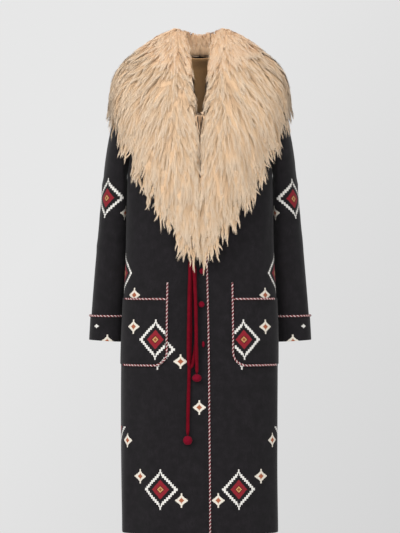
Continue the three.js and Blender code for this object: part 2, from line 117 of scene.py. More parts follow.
class CoatFurSettings(bpy.types.PropertyGroup):
    # The root's colour is darker than the hair's own, partly as painted shade deep in the pile.
    root: paint("Root", "Colour of the hair at the skin", (0.65, 0.418, 0.248))
    middle: paint("Middle", "Colour of the hair half way", (0.745, 0.512, 0.318))
    tip: paint("Tip", "Colour of the hair's ends", (0.83, 0.67, 0.505))
    locks: count("Locks", "Locks of hair on the collar", 5200)
    hairs: count("Hairs", "Strands in a lock", 13)
    hair_length: length("Hair length", "Length of a lock on the chest", 88 * MM)
    thickness: length("Strand thickness", "Half the width of a strand at its root", 0.45 * MM)
    crimp: length("Crimp", "How far the hair strays from side to side", 1.8 * MM)
    seed: count("Seed", "Start of the random draws", 11)


class CoatTrimSettings(bpy.types.PropertyGroup):
    twist_red: paint("Red yarn", "Red strand of the piping", (0.17, 0.0090, 0.018))
    twist_white: paint("White yarn", "White strand of the piping", (0.80, 0.64, 0.61))
    velvet: paint("Tie", "Colour of the ties", (0.145, 0.0026, 0.0098))
    ball: paint("Ball", "Colour of the felt balls and buttons", (0.19, 0.0048, 0.0185))
    twist_pitch: length("Twist", "Length of one turn of the piping", 9 * MM)
    tie_width: length("Tie width", "Width of the ties", 8.6 * MM)


class CoatStageSettings(bpy.types.PropertyGroup):
    backdrop: paint("Backdrop", "Colour behind the coat", (0.80, 0.80, 0.80))
    floor: paint("Floor", "Colour of the floor", (0.72, 0.72, 0.72))
    distance: length("Camera distance", "From the camera to the coat", 7.0)
    eye_height: length("Camera height", "Height of the camera", -0.530)
    view_width: length("View width", "Width of what the camera sees at the coat", 0.980)


def settings(name):
    return getattr(bpy.context.scene, name)


# ---- Meshes -----------------------------------------------------------------------------------
def mesh_from(name, points, faces):
    """A smooth-shaded mesh from an array of points and an array of faces of equal size."""
    points, faces = np.asarray(points, np.float32), np.asarray(faces, np.int32)
    mesh = bpy.data.meshes.new(name)
    mesh.vertices.add(len(points))
    mesh.vertices.foreach_set("co", points.ravel())
    mesh.loops.add(faces.size)
    mesh.loops.foreach_set("vertex_index", faces.ravel())
    mesh.polygons.add(len(faces))
    mesh.polygons.foreach_set("loop_start", np.arange(len(faces), dtype=np.int32) * faces.shape[1])
    mesh.polygons.foreach_set("use_smooth", np.ones(len(faces), bool))
    mesh.update(calc_edges=True)
    return mesh


def points_of(mesh):
    points = np.zeros(len(mesh.vertices) * 3, np.float32)
    mesh.vertices.foreach_get("co", points)
    return points.reshape(-1, 3).astype(float)


def set_points(mesh, points):
    mesh.vertices.foreach_set("co", np.asarray(points, np.float32).ravel())
    mesh.update()


def add_piece(name, mesh, materials, slot, *nodes):
    """Puts a piece on the coat in place of its nodes."""
    piece = bpy.data.objects.new(name, mesh)
    bpy.context.scene.collection.objects.link(piece)
    for material in materials:
        mesh.materials.append(material)
    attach(piece, "root")
    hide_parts(*nodes)
    return piece


def welded(node):
    """A node's mesh with the points that lie together made one."""
    bm = bmesh.new()
    bm.from_mesh(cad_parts[node].data)
    bmesh.ops.remove_doubles(bm, verts=bm.verts, dist=0.002 * MM)
    return bm


RIM_ANGLE = math.radians(48)  # a sharper edge than this is a rim


def rounded_mesh(node, levels, rim=0.85):
    """A node's mesh with its facets smoothed away and its rims kept."""
    bm = welded(node)
    bmesh.ops.join_triangles(bm, faces=bm.faces, angle_face_threshold=math.radians(50),
                             angle_shape_threshold=math.radians(55), cmp_materials=False)
    crease = bm.edges.layers.float.new("crease_edge")
    for edge in bm.edges:
        if len(edge.link_faces) == 2 and edge.calc_face_angle() > RIM_ANGLE:
            edge[crease] = rim
    draft = bpy.data.meshes.new(node + "_draft")
    bm.to_mesh(draft)
    bm.free()
    holder = bpy.data.objects.new(node + "_draft", draft)
    bpy.context.scene.collection.objects.link(holder)
    subdivision = holder.modifiers.new("rounded", "SUBSURF")
    subdivision.levels = subdivision.render_levels = levels
    evaluated = holder.evaluated_get(bpy.context.evaluated_depsgraph_get())
    mesh = bpy.data.meshes.new_from_object(evaluated)
    bpy.data.objects.remove(holder)
    bpy.data.meshes.remove(draft)
    mesh.name = node + "_cloth"
    mesh.materials.clear()
    for name in ("custom_normal", "sharp_face", "sharp_edge"):
        if name in mesh.attributes:
            mesh.attributes.remove(mesh.attributes[name])
    mesh.polygons.foreach_set("use_smooth", np.ones(len(mesh.polygons), bool))
    return mesh


def tree_of(*nodes):
    """A search tree over the nodes' solids."""
    points, faces = [], []
    for node in nodes:
        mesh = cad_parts[node].data
        start = len(points)
        points += [v.co.copy() for v in mesh.vertices]
        faces += [[start + i for i in p.vertices] for p in mesh.polygons]
    return BVHTree.FromPolygons(points, faces)


def spline_through(points, steps):
    """Evenly spaced points on a smooth curve through a few given ones."""
    points = np.asarray(points, float)
    ends = np.vstack([2 * points[0] - points[1], points, 2 * points[-1] - points[-2]])
    fine = []
    for a, b, c, d in zip(ends, ends[1:], ends[2:], ends[3:]):
        for t in np.linspace(0, 1, 24, endpoint=False):
            fine.append(0.5 * (2 * b + (c - a) * t + (2 * a - 5 * b + 4 * c - d) * t ** 2
                               + (3 * b - a - 3 * c + d) * t ** 3))
    return even_steps(np.vstack([fine, points[-1]]), steps)


def even_steps(points, steps):
    """The same line, cut into steps of equal length."""
    run = np.concatenate([[0], np.cumsum(np.linalg.norm(np.diff(points, axis=0), axis=1))])
    places = np.linspace(0, run[-1], steps + 1)
    return np.stack([np.interp(places, run, points[:, axis]) for axis in range(3)], axis=1)


def path_length(points):
    return float(np.linalg.norm(np.diff(points, axis=0), axis=1).sum())


def frames_along(points, closed=False):
    """Two directions square to a line at each of its points, turning as little as they can."""
    if closed:
        ways = np.roll(points, -1, axis=0) - np.roll(points, 1, axis=0)
    else:
        ways = np.gradient(points, axis=0)
    ways /= np.linalg.norm(ways, axis=1, keepdims=True)
    first = np.cross(ways[0], (0.3, 1.0, 0.2))
    across = [first / np.linalg.norm(first)]
    for way in ways[1:]:
        kept = across[-1] - way * np.dot(across[-1], way)
        across.append(kept / np.linalg.norm(kept))
    across = np.array(across)
    return across, np.cross(ways, across)


def tube(points, radii, sides, closed=False):
    """Points and faces of a tube with closed ends, or of a ring."""
    across, upright = frames_along(points, closed)
    turn = np.linspace(0, 2 * math.pi, sides, endpoint=False)
    radii = np.broadcast_to(np.asarray(radii, float).reshape(-1, 1, 1), (len(points), 1, 1))
    ring = np.cos(turn)[None, :, None] * across[:, None] + np.sin(turn)[None, :, None] * upright[:, None]
    verts = (points[:, None] + radii * ring).reshape(-1, 3)
    n = len(points)
    i = np.arange(n if closed else n - 1)[:, None]
    j = np.arange(sides)[None, :]
    here, there = (i % n) * sides, ((i + 1) % n) * sides
    nxt = (j + 1) % sides
    quads = np.stack([here + j, here + nxt, there + nxt, there + j], axis=-1).reshape(-1, 4)
    faces = np.concatenate([quads[:, [0, 1, 2]], quads[:, [0, 2, 3]]])
    if not closed:
        verts = np.vstack([verts, points[0], points[-1]])
        low, high = n * sides, n * sides + 1
        j, nxt = j.ravel(), nxt.ravel()
        start = np.stack([np.full(sides, low), nxt, j], axis=1)
        end = np.stack([np.full(sides, high), (n - 1) * sides + j, (n - 1) * sides + nxt], axis=1)
        faces = np.concatenate([faces, start, end])
    return verts, faces


def joined(parts):
    """One array of points and one of faces from several, with the part that each face is of."""
    starts = np.cumsum([0] + [len(verts) for verts, _ in parts[:-1]])
    points = np.vstack([verts for verts, _ in parts])
    faces = np.vstack([faces + start for (_, faces), start in zip(parts, starts)])
    owner = np.concatenate([np.full(len(faces), k) for k, (_, faces) in enumerate(parts)])
    return points, faces, owner


# ---- Places on the body and the sleeves -------------------------------------------------------
class Barrel:
    """A tube-like part of the coat: its middle line, and turns about it, 0 in front, + towards +X."""

    def __init__(self, nodes, reach=None):
        self.tree = tree_of(*nodes)
        points = np.vstack([points_of(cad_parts[node].data) for node in nodes])
        self.foot = points[:, 2].min() + 8 * MM
        if reach is None:
            self.middle_x = self.middle_y = np.poly1d([0.0])
            return
        points = points[points[:, 2] < reach]
        self.middle_x = np.poly1d(np.polyfit(points[:, 2], points[:, 0], 2))
        self.middle_y = np.poly1d(np.polyfit(points[:, 2], points[:, 1], 2))

    def middle(self, z):
        return np.stack([self.middle_x(z) + 0 * z, self.middle_y(z) + 0 * z], axis=-1)

    def turn(self, points):
        out = points[:, :2] - self.middle(points[:, 2])
        return np.arctan2(out[:, 0], -out[:, 1])

    def outwards(self, points):
        out = np.zeros_like(points)
        out[:, :2] = points[:, :2] - self.middle(points[:, 2])
        return out / np.maximum(np.linalg.norm(out, axis=1, keepdims=True), 1e-6)

    def around(self, turn, z):
        """How far it is round the surface from one turn, at a height: turns, lengths and places."""
        z = max(z, self.foot)
        turns = turn + np.linspace(-math.pi, math.pi, 241)
        centre = Vector((*self.middle(np.array(z)), z))
        spots = []
        for angle in turns:
            way = Vector((math.sin(angle), -math.cos(angle), 0))
            hit = self.tree.ray_cast(centre, way)[0]
            spots.append(spots[-1] if hit is None and spots else hit or centre)
        steps = np.linalg.norm(np.diff(np.array(spots), axis=0), axis=1)
        run = np.concatenate([[0], np.cumsum(steps)])
        return turns - turn, run - run[len(run) // 2], np.array(spots)

    def turn_at(self, x, z):
        """The turn of the front surface's point at x."""
        spot = self.tree.ray_cast(Vector((x, -1, max(z, self.foot))), Vector((0, 1, 0)))[0]
        return float(self.turn(np.array([spot]))[0])


# Soft creases. turn: degrees about the piece, 0 in front; z: height, mm; wide, deep: mm, and a
# trough where deep is below 0. Each runs from its first place to its second and fades at both.
BODY_CREASES = (
    dict(turn=(-64, -52), z=(-330, -560), wide=13, deep=-2.0),
    dict(turn=(-78, -60), z=(-300, -470), wide=10, deep=1.6),
    dict(turn=(60, 50), z=(-345, -545), wide=14, deep=-1.8),
    dict(turn=(80, 66), z=(-310, -500), wide=11, deep=-1.4),
    dict(turn=(-38, -42), z=(-780, -1176), wide=20, deep=1.8),
    dict(turn=(-57, -60), z=(-840, -1176), wide=17, deep=-2.2),
    dict(turn=(35, 40), z=(-790, -1176), wide=20, deep=-1.9),
    dict(turn=(55, 60), z=(-860, -1176), wide=18, deep=2.0),
    dict(turn=(82, 88), z=(-700, -1176), wide=16, deep=-2.0),
    dict(turn=(-84, -90), z=(-690, -1176), wide=16, deep=2.0),
    dict(turn=(140, 160), z=(-340, -560), wide=16, deep=-2.6),
    dict(turn=(-145, -165), z=(-350, -590), wide=18, deep=-2.4),
    dict(turn=(125, 150), z=(-520, -760), wide=20, deep=2.4),
    dict(turn=(-130, -150), z=(-560, -800), wide=18, deep=2.2),
    dict(turn=(172, 176), z=(-480, -1100), wide=20, deep=-2.6),
    dict(turn=(-176, -178), z=(-820, -1176), wide=20, deep=2.2),
)
SLEEVE_CREASES = (
    dict(turn=(-80, 40), z=(-395, -425), wide=9, deep=-2.3),
    dict(turn=(-40, 85), z=(-432, -400), wide=8, deep=2.0),
    dict(turn=(-95, 25), z=(-455, -478), wide=10, deep=-2.6),
    dict(turn=(-20, 100), z=(-500, -462), wide=9, deep=1.8),
    dict(turn=(-100, 10), z=(-545, -560), wide=11, deep=-1.8),
    dict(turn=(-60, 60), z=(-612, -628), wide=10, deep=-1.4),
    dict(turn=(100, 200), z=(-300, -360), wide=12, deep=-2.4),
    dict(turn=(60, 150), z=(-350, -300), wide=11, deep=1.8),
    dict(turn=(150, 250), z=(-430, -450), wide=11, deep=-2.2),
    dict(turn=(140, 240), z=(-530, -515), wide=12, deep=1.8),
)
ARM_RADIUS = 48 * MM
BODY_RADIUS = 150 * MM
# Where the sleeve lies on the body it is drawn in: about this height and inside this distance from
# the centre line, fading over the lengths beside them.
TUCK = dict(deep=3.2 * MM, z=-0.335, high=0.09, x=0.215, wide=0.03)
CALM_ABOVE, CALM_FADE = -0.33, 0.12  # the body's cloth has no swells above this height


def crease_depth(points, barrel, creases, radius):
    """How far the creases move each point out."""
    turn, z = barrel.turn(points), points[:, 2]
    moved = np.zeros(len(points))
    for crease in creases:
        (a, b), (low, high) = np.radians(crease["turn"]), np.array(crease["z"]) * MM
        middle = (a + b) / 2
        near = (turn - middle + math.pi) % (2 * math.pi) - math.pi
        run = np.array([(b - a) * radius, high - low])
        spot = np.stack([(near + middle - a) * radius, z - low], axis=1)
        along = np.clip(spot @ run / (run @ run), 0, 1)
        off = np.linalg.norm(spot - along[:, None] * run, axis=1)
        fade = np.sin(np.clip(along, 0.04, 0.96) * math.pi) ** 0.6
        moved += crease["deep"] * MM * fade * np.exp(-(off / (crease["wide"] * MM)) ** 2)
    return moved


def undulation(points, seed):
    """Slow, uneven swells, from -1 to 1."""
    offset = Vector((seed * 7.3, seed * 3.1, seed * 5.7))
    return np.array([noise.noise(Vector((x * 9, y * 9, z * 5)) + offset) for x, y, z in points])


def settled(points, barrel, creases, radius, seed):
    """The points moved with the cloth's creases and swells."""
    coat = settings("coat_cloth")
    deep = coat.crease_share * crease_depth(points, barrel, creases, radius)
    lively = np.clip((CALM_ABOVE - points[:, 2]) / CALM_FADE, 0, 1) if creases is BODY_CREASES else 1.0
    swell = coat.undulation * undulation(points, seed) * lively
    return points + barrel.outwards(points) * (deep + swell)[:, None]


class Coat:
    """The barrels of the coat, made once."""
    body = None
    arms = {}


def measure_coat():
    Coat.body = Barrel(BODY_NODES)
    for side in SIDES:
        Coat.arms[side] = Barrel([f"sleeve_{side}", f"cuff_{side}"], reach=-320 * MM)


def settle_body(points):
    return settled(points, Coat.body, BODY_CREASES, BODY_RADIUS, 1)


def settle_arm(points, side):
    """The arm's points with its creases, drawn in a little under the arm, where it lies on the body."""
    points = points.copy()
    under = np.clip(1 - np.abs(points[:, 2] - TUCK["z"]) / TUCK["high"], 0, 1)
    inner = np.clip((TUCK["x"] - np.abs(points[:, 0])) / TUCK["wide"], 0, 1)
    points[:, 0] -= np.sign(points[:, 0]) * TUCK["deep"] * under * inner
    barrel = Coat.arms[side]
    if side == "left":
        return settled(points, barrel, SLEEVE_CREASES, ARM_RADIUS, 2)
    flipped = [dict(c, turn=(-c["turn"][0], -c["turn"][1])) for c in SLEEVE_CREASES]
    for k, crease in enumerate(flipped):
        crease["z"] = tuple(z - 9 + 6 * (k % 3) for z in crease["z"])
    return settled(points, barrel, flipped, ARM_RADIUS, 3)


# ---- Woven motifs -----------------------------------------------------------------------------
LARGE, STAR, LOZENGE, LOWER_HALF, LOWER_TIP = 1.0, 2.0, 3.0, 4.0, 5.0
MOTIF_HALF = {LARGE: (0.041, 0.0425), STAR: (0.0155, 0.0193), LOZENGE: (0.0068, 0.0050)}
MOTIF_HALF[LOWER_HALF] = MOTIF_HALF[LOWER_TIP] = MOTIF_HALF[LARGE]
KIND_MARGIN = 0.3  # a kind's number may be this far off
LOWER_TIP_FROM = -0.030  # a lower tip shows below this height
# Parts of a large motif, in metres and, from 0 in the middle to 1, in shares of its half size.
TOOTH = 4.6 * MM
BAND = (0.835, 1.02)
NOTCH_HALF = 0.0013
SPIKE = dict(half=0.0019, start=0.93, top=0.0487)
CORNER = dict(half=0.0030, start=0.84, end=1.01)
RED_HALF = (0.0208, 0.0235)
DARK_RING, GOLD_RING, HEART = 0.245, 0.178, 0.112
# Half widths and half heights of a star's body, its upright and level tips, and its heart.
STAR_BODY = (0.0146, 0.0141)
STAR_UPRIGHT = (0.0019, 0.0176)
STAR_LEVEL = (0.0152, 0.0016)
STAR_HEART = (0.0062, 0.0074)


def motif(kind, x, z, further=0.0, widened=1.0, seen=0.0):
    """A motif's kind, its middle seen from the front in mm, and how much further round it lies.

    Where seen isn't 0, x is the motif's inner corner, and the motif turns the side: up to the side
    it is that much wider than it looks from the front.
    """
    return dict(kind=kind, x=x * MM, z=z * MM, further=further * MM, widened=widened, seen=seen)


RIGHT_MOTIFS = (
    motif(LARGE, -95.1, -1066.7), motif(LARGE, -101.7, -729.9),
    motif(LARGE, -165.6, -545.8, seen=2.05), motif(LOWER_HALF, -182.5, -918.5, seen=2.0),
    motif(STAR, -159.4, -599, 0, 1.18), motif(STAR, -46.9, -758.6, 0, 1.1), motif(STAR, -1.7, -868.9),
    motif(STAR, -177.1, -951.1), motif(STAR, -145.8, -1036.6, 0, 1.18), motif(STAR, -44.5, -1092.6),
)
LEFT_MOTIFS = (
    motif(LARGE, 94.3, -1066.7), motif(LOWER_TIP, 100.5, -729.9),
    motif(LARGE, 165.6, -545.8, seen=2.05), motif(LOWER_HALF, 182.5, -918.5, seen=2.0),
    motif(STAR, 158.9, -599, 0, 1.18), motif(STAR, 175.9, -950.4), motif(STAR, 146.1, -1036.4, 0, 1.18),
    motif(STAR, 43.7, -1092.6),
)
POCKET_MOTIFS = {
    "right": (motif(LARGE, -106.2, -706), motif(STAR, -159, -675.4, 0, 1.18)),
    "left": (motif(LARGE, 105.2, -706), motif(STAR, 157.4, -675.6, 0, 1.18)),
}
SLEEVE_MOTIFS = {
    "right": (motif(LARGE, -229, -362.5, 0, 1.15), motif(STAR, -185, -399, 5, 1.3),
              motif(LARGE, -228, -545, -110)),
    "left": (motif(LARGE, 230, -364.5, 0, 1.15), motif(STAR, 185, -399, -5, 1.3),
             motif(LARGE, 229, -545, 110)),
}
CUFF_MOTIFS = {
    "right": (motif(STAR, -227.1, -713.8), motif(LOZENGE, -254, -676)),
    "left": (motif(STAR, 227.4, -713.8), motif(LOZENGE, 254, -676)),
}
# The back's, by turn from its middle in degrees.
BACK_MOTIFS = (
    (LARGE, 33, -1066.7), (LARGE, -33, -1066.7), (LARGE, 30, -730), (LARGE, -30, -730),
    (LARGE, 0, -560), (STAR, 0, -868.9), (STAR, 16, -1092.6), (STAR, -16, -1092.6),
    (STAR, 52, -1036.6), (STAR, -52, -1036.6), (STAR, 52, -660), (STAR, -52, -660),
    (STAR, 15, -655), (STAR, -15, -655), (LARGE, 38, -395), (LARGE, -38, -395),
)


LEAST_RATE = 0.7  # how little of a motif a length of cloth may take up where it turns the side
SIDE_REACH = 0.15  # how far round from its inner corner the side is looked for


def round_the_side(start, runs, spots, half, seen):
    """Places across a motif that starts at its inner corner and turns the coat's side."""
    side = 1.0 if start > 0 else -1.0
    ahead = runs * side
    out = np.abs(spots[:, 0])
    front = (ahead >= 0) & (ahead < SIDE_REACH)
    edge = np.argmax(np.where(front, out, 0))
    corner = out[len(out) // 2]
    across = ahead - half
    seen_part = front & (ahead <= ahead[edge])
    order = np.argsort(ahead[seen_part])
    ran, went = ahead[seen_part][order], out[seen_part][order]
    rates = np.maximum(seen * np.diff(went), LEAST_RATE * np.diff(ran))
    turned = np.empty(len(ran))
    turned[order] = np.concatenate([[seen * (went[0] - corner)], rates]).cumsum() - half
    across[seen_part] = turned
    beyond = ahead > ahead[edge]
    across[beyond] = across[edge] + ahead[beyond] - ahead[edge]
    return side * across


def lay_motifs(mesh, barrel, motifs):
    """Writes on each corner of the cloth its place in the nearest motif, and that motif's kind."""
    points = points_of(mesh)
    corners = np.zeros(len(mesh.loops), np.int32)
    mesh.loops.foreach_get("vertex_index", corners)
    totals = np.array([p.loop_total for p in mesh.polygons])
    face_of = np.repeat(np.arange(len(totals)), totals)
    turn = barrel.turn(points)
    places, sizes = [], []
    for kind, start, z, further, widened, seen in motifs:
        turns, runs, spots = barrel.around(start, z)
        near = (turn - start + math.pi) % (2 * math.pi) - math.pi
        half = MOTIF_HALF[kind]
        if seen:
            runs = round_the_side(start, runs, spots, half[0], seen)
        across = (np.interp(near, turns, runs) - further) / widened
        place = np.stack([across, points[:, 2] - z, np.full(len(points), kind)], axis=1)
        size = np.abs(place[:, 0]) / half[0] + np.abs(place[:, 1]) / half[1]
        places.append(place)
        sizes.append(np.bincount(face_of, size[corners]) / totals)
    best = np.argmin(sizes, axis=0)
    picked = np.array(places)[best[face_of], corners]
    layer = mesh.attributes.new("motif", "FLOAT_VECTOR", "CORNER")
    layer.data.foreach_set("vector", picked.astype(np.float32).ravel())


def front_motifs(barrel, listed):
    """The motifs' kinds, turns and heights, and how they lie about those."""
    return [(m["kind"], barrel.turn_at(m["x"], m["z"]), m["z"], m["further"], m["widened"], m["seen"])
            for m in listed]


def back_motifs(listed):
    return [(kind, math.pi + math.radians(turn), z * MM, 0.0, 1.0, 0.0) for kind, turn, z in listed]


# ---- Materials --------------------------------------------------------------------------------
class Wire:
    """A node's output that can be reckoned with like a number."""

    def __init__(self, tree, socket):
        self.tree, self.socket = tree, socket

    def math(self, operation, *others):
        node = self.tree.nodes.new("ShaderNodeMath")
        node.operation = operation
        for socket, value in zip(node.inputs, (self, *others)):
            plug(self.tree, value, socket)
        return Wire(self.tree, node.outputs[0])

    def __add__(self, other):
        return self.math("ADD", other)

    def __sub__(self, other):
        return self.math("SUBTRACT", other)

    def __mul__(self, other):
        return self.math("MULTIPLY", other)

    def __truediv__(self, other):
        return self.math("DIVIDE", other)

    def __lt__(self, other):
        return self.math("LESS_THAN", other)

    def __gt__(self, other):
        return self.math("GREATER_THAN", other)

    def __or__(self, other):
        return self.math("MAXIMUM", other)

    def __and__(self, other):
        return self.math("MINIMUM", other)

    def __abs__(self):
        return self.math("ABSOLUTE")


def plug(tree, value, socket):
    if isinstance(value, Wire):
        tree.links.new(value.socket, socket)
    else:
        socket.default_value = value


def new_material(name, roughness, sheen=0.0, sheen_roughness=0.5):
    material = bpy.data.materials.new(name)
    material.use_nodes = True
    shader = material.node_tree.nodes["Principled BSDF"]
    shader.inputs["Roughness"].default_value = roughness
    shader.inputs["Sheen Weight"].default_value = sheen
    shader.inputs["Sheen Roughness"].default_value = sheen_roughness
    shader.inputs["Specular IOR Level"].default_value = 0.25
    return material, material.node_tree, shader


def object_place(tree, stretch=(1, 1, 1)):
    """Position on the coat in metres, scaled along each axis."""
    where = tree.nodes.new("ShaderNodeTexCoord")
    mapping = tree.nodes.new("ShaderNodeMapping")
    mapping.inputs["Scale"].default_value = stretch
    tree.links.new(where.outputs["Object"], mapping.inputs["Vector"])
    return Wire(tree, mapping.outputs["Vector"])


def dimmed(tone, factor):
    """A colour, darker by a factor."""
    return tuple(factor * c for c in tone[:3]) + (1,)


def grain(tree, place, scale, detail=3.0, roughness=0.55):
    node = tree.nodes.new("ShaderNodeTexNoise")
    node.inputs["Scale"].default_value = scale
    node.inputs["Detail"].default_value = detail
    node.inputs["Roughness"].default_value = roughness
    plug(tree, place, node.inputs["Vector"])
    return Wire(tree, node.outputs["Fac"])


def between(tree, value, low, high, to_low=0.0, to_high=1.0):
    """The value's place between two limits, spread between two others."""
    node = tree.nodes.new("ShaderNodeMapRange")
    for name, number in (("From Min", low), ("From Max", high), ("To Min", to_low), ("To Max", to_high)):
        node.inputs[name].default_value = number
    plug(tree, value, node.inputs["Value"])
    return Wire(tree, node.outputs["Result"])


def blended(tree, share_of_second, first, second):
    node = tree.nodes.new("ShaderNodeMix")
    node.data_type = "RGBA"
    factor, a, b = (s for s in node.inputs if s.enabled)
    plug(tree, share_of_second, factor)
    plug(tree, first, a)
    plug(tree, second, b)
    return Wire(tree, next(s for s in node.outputs if s.enabled))


def bumped(tree, shader, height, distance, strength=0.5):
    node = tree.nodes.new("ShaderNodeBump")
    node.inputs["Distance"].default_value = distance
    node.inputs["Strength"].default_value = strength
    plug(tree, height, node.inputs["Height"])
    tree.links.new(node.outputs["Normal"], shader.inputs["Normal"])


def attribute(tree, name):
    node = tree.nodes.new("ShaderNodeAttribute")
    node.attribute_name = name
    return node


def motif_colours(tree, cloth_colour):
    """The cloth's colour with the woven motifs in it, and where there is a motif."""
    coat = settings("coat_cloth")
    split = tree.nodes.new("ShaderNodeSeparateXYZ")
    tree.links.new(attribute(tree, "motif").outputs["Vector"], split.inputs["Vector"])
    across, up, kind = (Wire(tree, output) for output in split.outputs)
    u, v = (abs((place / coat.stitch).math("ROUND") * coat.stitch) for place in (across, up))

    def is_kind(number):
        return kind.math("COMPARE", number, KIND_MARGIN)

    def reach(half):
        """1 on the outline of the diamond of this half width and half height, less within."""
        return u / half[0] + v / half[1]

    def bar(half):
        return (u < half[0]) & (v < half[1])

    is_lower = is_kind(LOWER_HALF) & (up < 0.0)
    is_tip = is_kind(LOWER_TIP) & (up < LOWER_TIP_FROM)
    is_large = is_kind(LARGE) | is_lower | is_tip
    is_star = is_kind(STAR)

    wide, high = MOTIF_HALF[LARGE]
    stepped = ((u / TOOTH).math("FLOOR") + 0.5) * TOOTH
    outline = stepped / wide + v / high
    notch = (u < NOTCH_HALF) & (v < high * SPIKE["start"])
    band = (outline > BAND[0]) & (outline < BAND[1]) & (notch < 0.5)
    spike = (u < SPIKE["half"]) & (v > high * SPIKE["start"]) & (v < SPIKE["top"])
    corner = (v < CORNER["half"]) & (u > wide * CORNER["start"]) & (u < wide * CORNER["end"])
    white_large = (band | spike | corner) & is_large
    worn = grain(tree, object_place(tree), 900, 2.0)
    ring = reach(MOTIF_HALF[LARGE])
    red_large = (reach(RED_HALF) < 1.0) & is_large
    dark_large, gold_large, heart_large = ((ring < end) & is_large for end in (DARK_RING, GOLD_RING, HEART))

    white_star = ((reach(STAR_BODY) < 1.0) | bar(STAR_UPRIGHT) | bar(STAR_LEVEL)) & is_star
    heart_star = (reach(STAR_HEART) < 1.0) & is_star
    mark = (reach(MOTIF_HALF[LOZENGE]) < 1.0) & is_kind(LOZENGE)

    # Painted shade: each tooth of the outline is full white in its middle and greyer at the seams between
    # teeth.
    seam = (u / TOOTH).math("FRACT")
    lit = between(tree, abs(seam - 0.5), 0.3, 0.5, 1.0, 0.72)
    white = blended(tree, lit, (0.22, 0.20, 0.19, 1), tuple(coat.white))
    cream = blended(tree, worn, dimmed(coat.white, 0.9), (0.68, 0.60, 0.47, 1))
    red = blended(tree, worn, dimmed(coat.red, 0.62), tuple(coat.red))
    result = cloth_colour
    for where, dye in (
        (red_large, red), (dark_large, dimmed(coat.brown, 0.1)), (gold_large, tuple(coat.gold)),
        (heart_large, tuple(coat.brown)), (white_large | mark, white), (white_star, cream),
        (heart_star, tuple(coat.orange)),
    ):
        result = blended(tree, where, result, dye)
    return result, white_large | white_star | mark | red_large


def felt_material():
    """Dark wool felt with a fine melange, short fibres and the woven motifs."""
    coat = settings("coat_cloth")
    material, tree, shader = new_material("melange_felt", 0.92, sheen=0.05, sheen_roughness=0.45)
    place = object_place(tree)
    fine = grain(tree, place, 1500, 4.0, 0.65)
    fibre = grain(tree, object_place(tree, (1, 1, 0.28)), 2300, 3.0, 0.7)
    cloudy = grain(tree, place, 55, 3.0)
    slubs = grain(tree, object_place(tree, (1, 1, 0.35)), 240, 3.0, 0.6)
    mottled = between(tree, fine * 0.3 + fibre * 0.25 + slubs * 0.45, 0.42, 0.60, 0.0, 0.62)
    shade = blended(tree, mottled, tuple(coat.felt), tuple(coat.fleck))
    dusk = between(tree, cloudy * 0.5 + slubs * 0.5, 0.40, 0.60, 0.0, 0.70)
    colour_out = blended(tree, dusk, shade, dimmed(coat.felt, 0.5))
    colour_out, where = motif_colours(tree, colour_out)
    plug(tree, colour_out, shader.inputs["Base Color"])
    bumped(tree, shader, fine * 0.5 + fibre * 0.5 + where * 0.35, 0.5 * MM, 0.42)
    return material


# How far the lining's top edge goes in and up to meet the fur, and over what height it does so.
LINING_IN, LINING_IN_FROM = 16.5 * MM, 22 * MM
LINING_RISE, LINING_RISE_FROM = 9.5 * MM, 4 * MM


def lining_material():
    material, tree, shader = new_material("satin_lining", 0.45, sheen=0.2)
    place = object_place(tree, (1, 1, 0.15))
    ribs = grain(tree, place, 900, 2.0)
    # Painted light: the lining's colour is made brighter than its own, for the light that scarcely reaches
    # inside the neck.
    tone = settings("coat_cloth").lining
    ribbed = blended(tree, ribs, dimmed(tone, 0.6), tuple(tone))
    edge = Wire(tree, attribute(tree, "edge").outputs["Fac"])
    colour_out = blended(tree, between(tree, edge, 0.35, 0.6), ribbed, (0.85, 0.72, 0.56, 1))
    plug(tree, colour_out, shader.inputs["Base Color"])
    bumped(tree, shader, ribs, 0.2 * MM, 0.3)
    return material


# Wool yarn, felted wool and velvet. tone: the colour's name in the settings; scale: how fine the
# fibres are; deep: how far they stand out, mm.
YARN = dict(roughness=0.85, sheen=0.25, scale=1400, deep=0.3, shine=0.25)
WOOLS = {
    "red_yarn": dict(YARN, tone="twist_red"),
    "white_yarn": dict(YARN, tone="twist_white"),
    "ball_wool": dict(tone="ball", roughness=0.95, sheen=0.03, scale=900, deep=0.5, shine=0.05),
    "tie_velvet": dict(tone="velvet", roughness=0.85, sheen=0.02, scale=1100, deep=0.3, shine=0.05),
}


def wool_material(name, tone, roughness, sheen, scale, deep, shine):
    """Wool in one colour, with a fibrous surface."""
    tone = getattr(settings("coat_trim"), tone)
    material, tree, shader = new_material(name, roughness, sheen=sheen, sheen_roughness=0.35)
    shader.inputs["Specular IOR Level"].default_value = shine
    place = object_place(tree)
    fibres = grain(tree, place, scale, 4.0, 0.7)
    clouds = grain(tree, place, scale * 0.08, 2.0)
    mixed = between(tree, fibres * 0.65 + clouds * 0.35, 0.36, 0.62)
    plug(tree, blended(tree, mixed, dimmed(tone, 0.58), tuple(tone)), shader.inputs["Base Color"])
    bumped(tree, shader, fibres, deep * MM, 0.5)
    return material


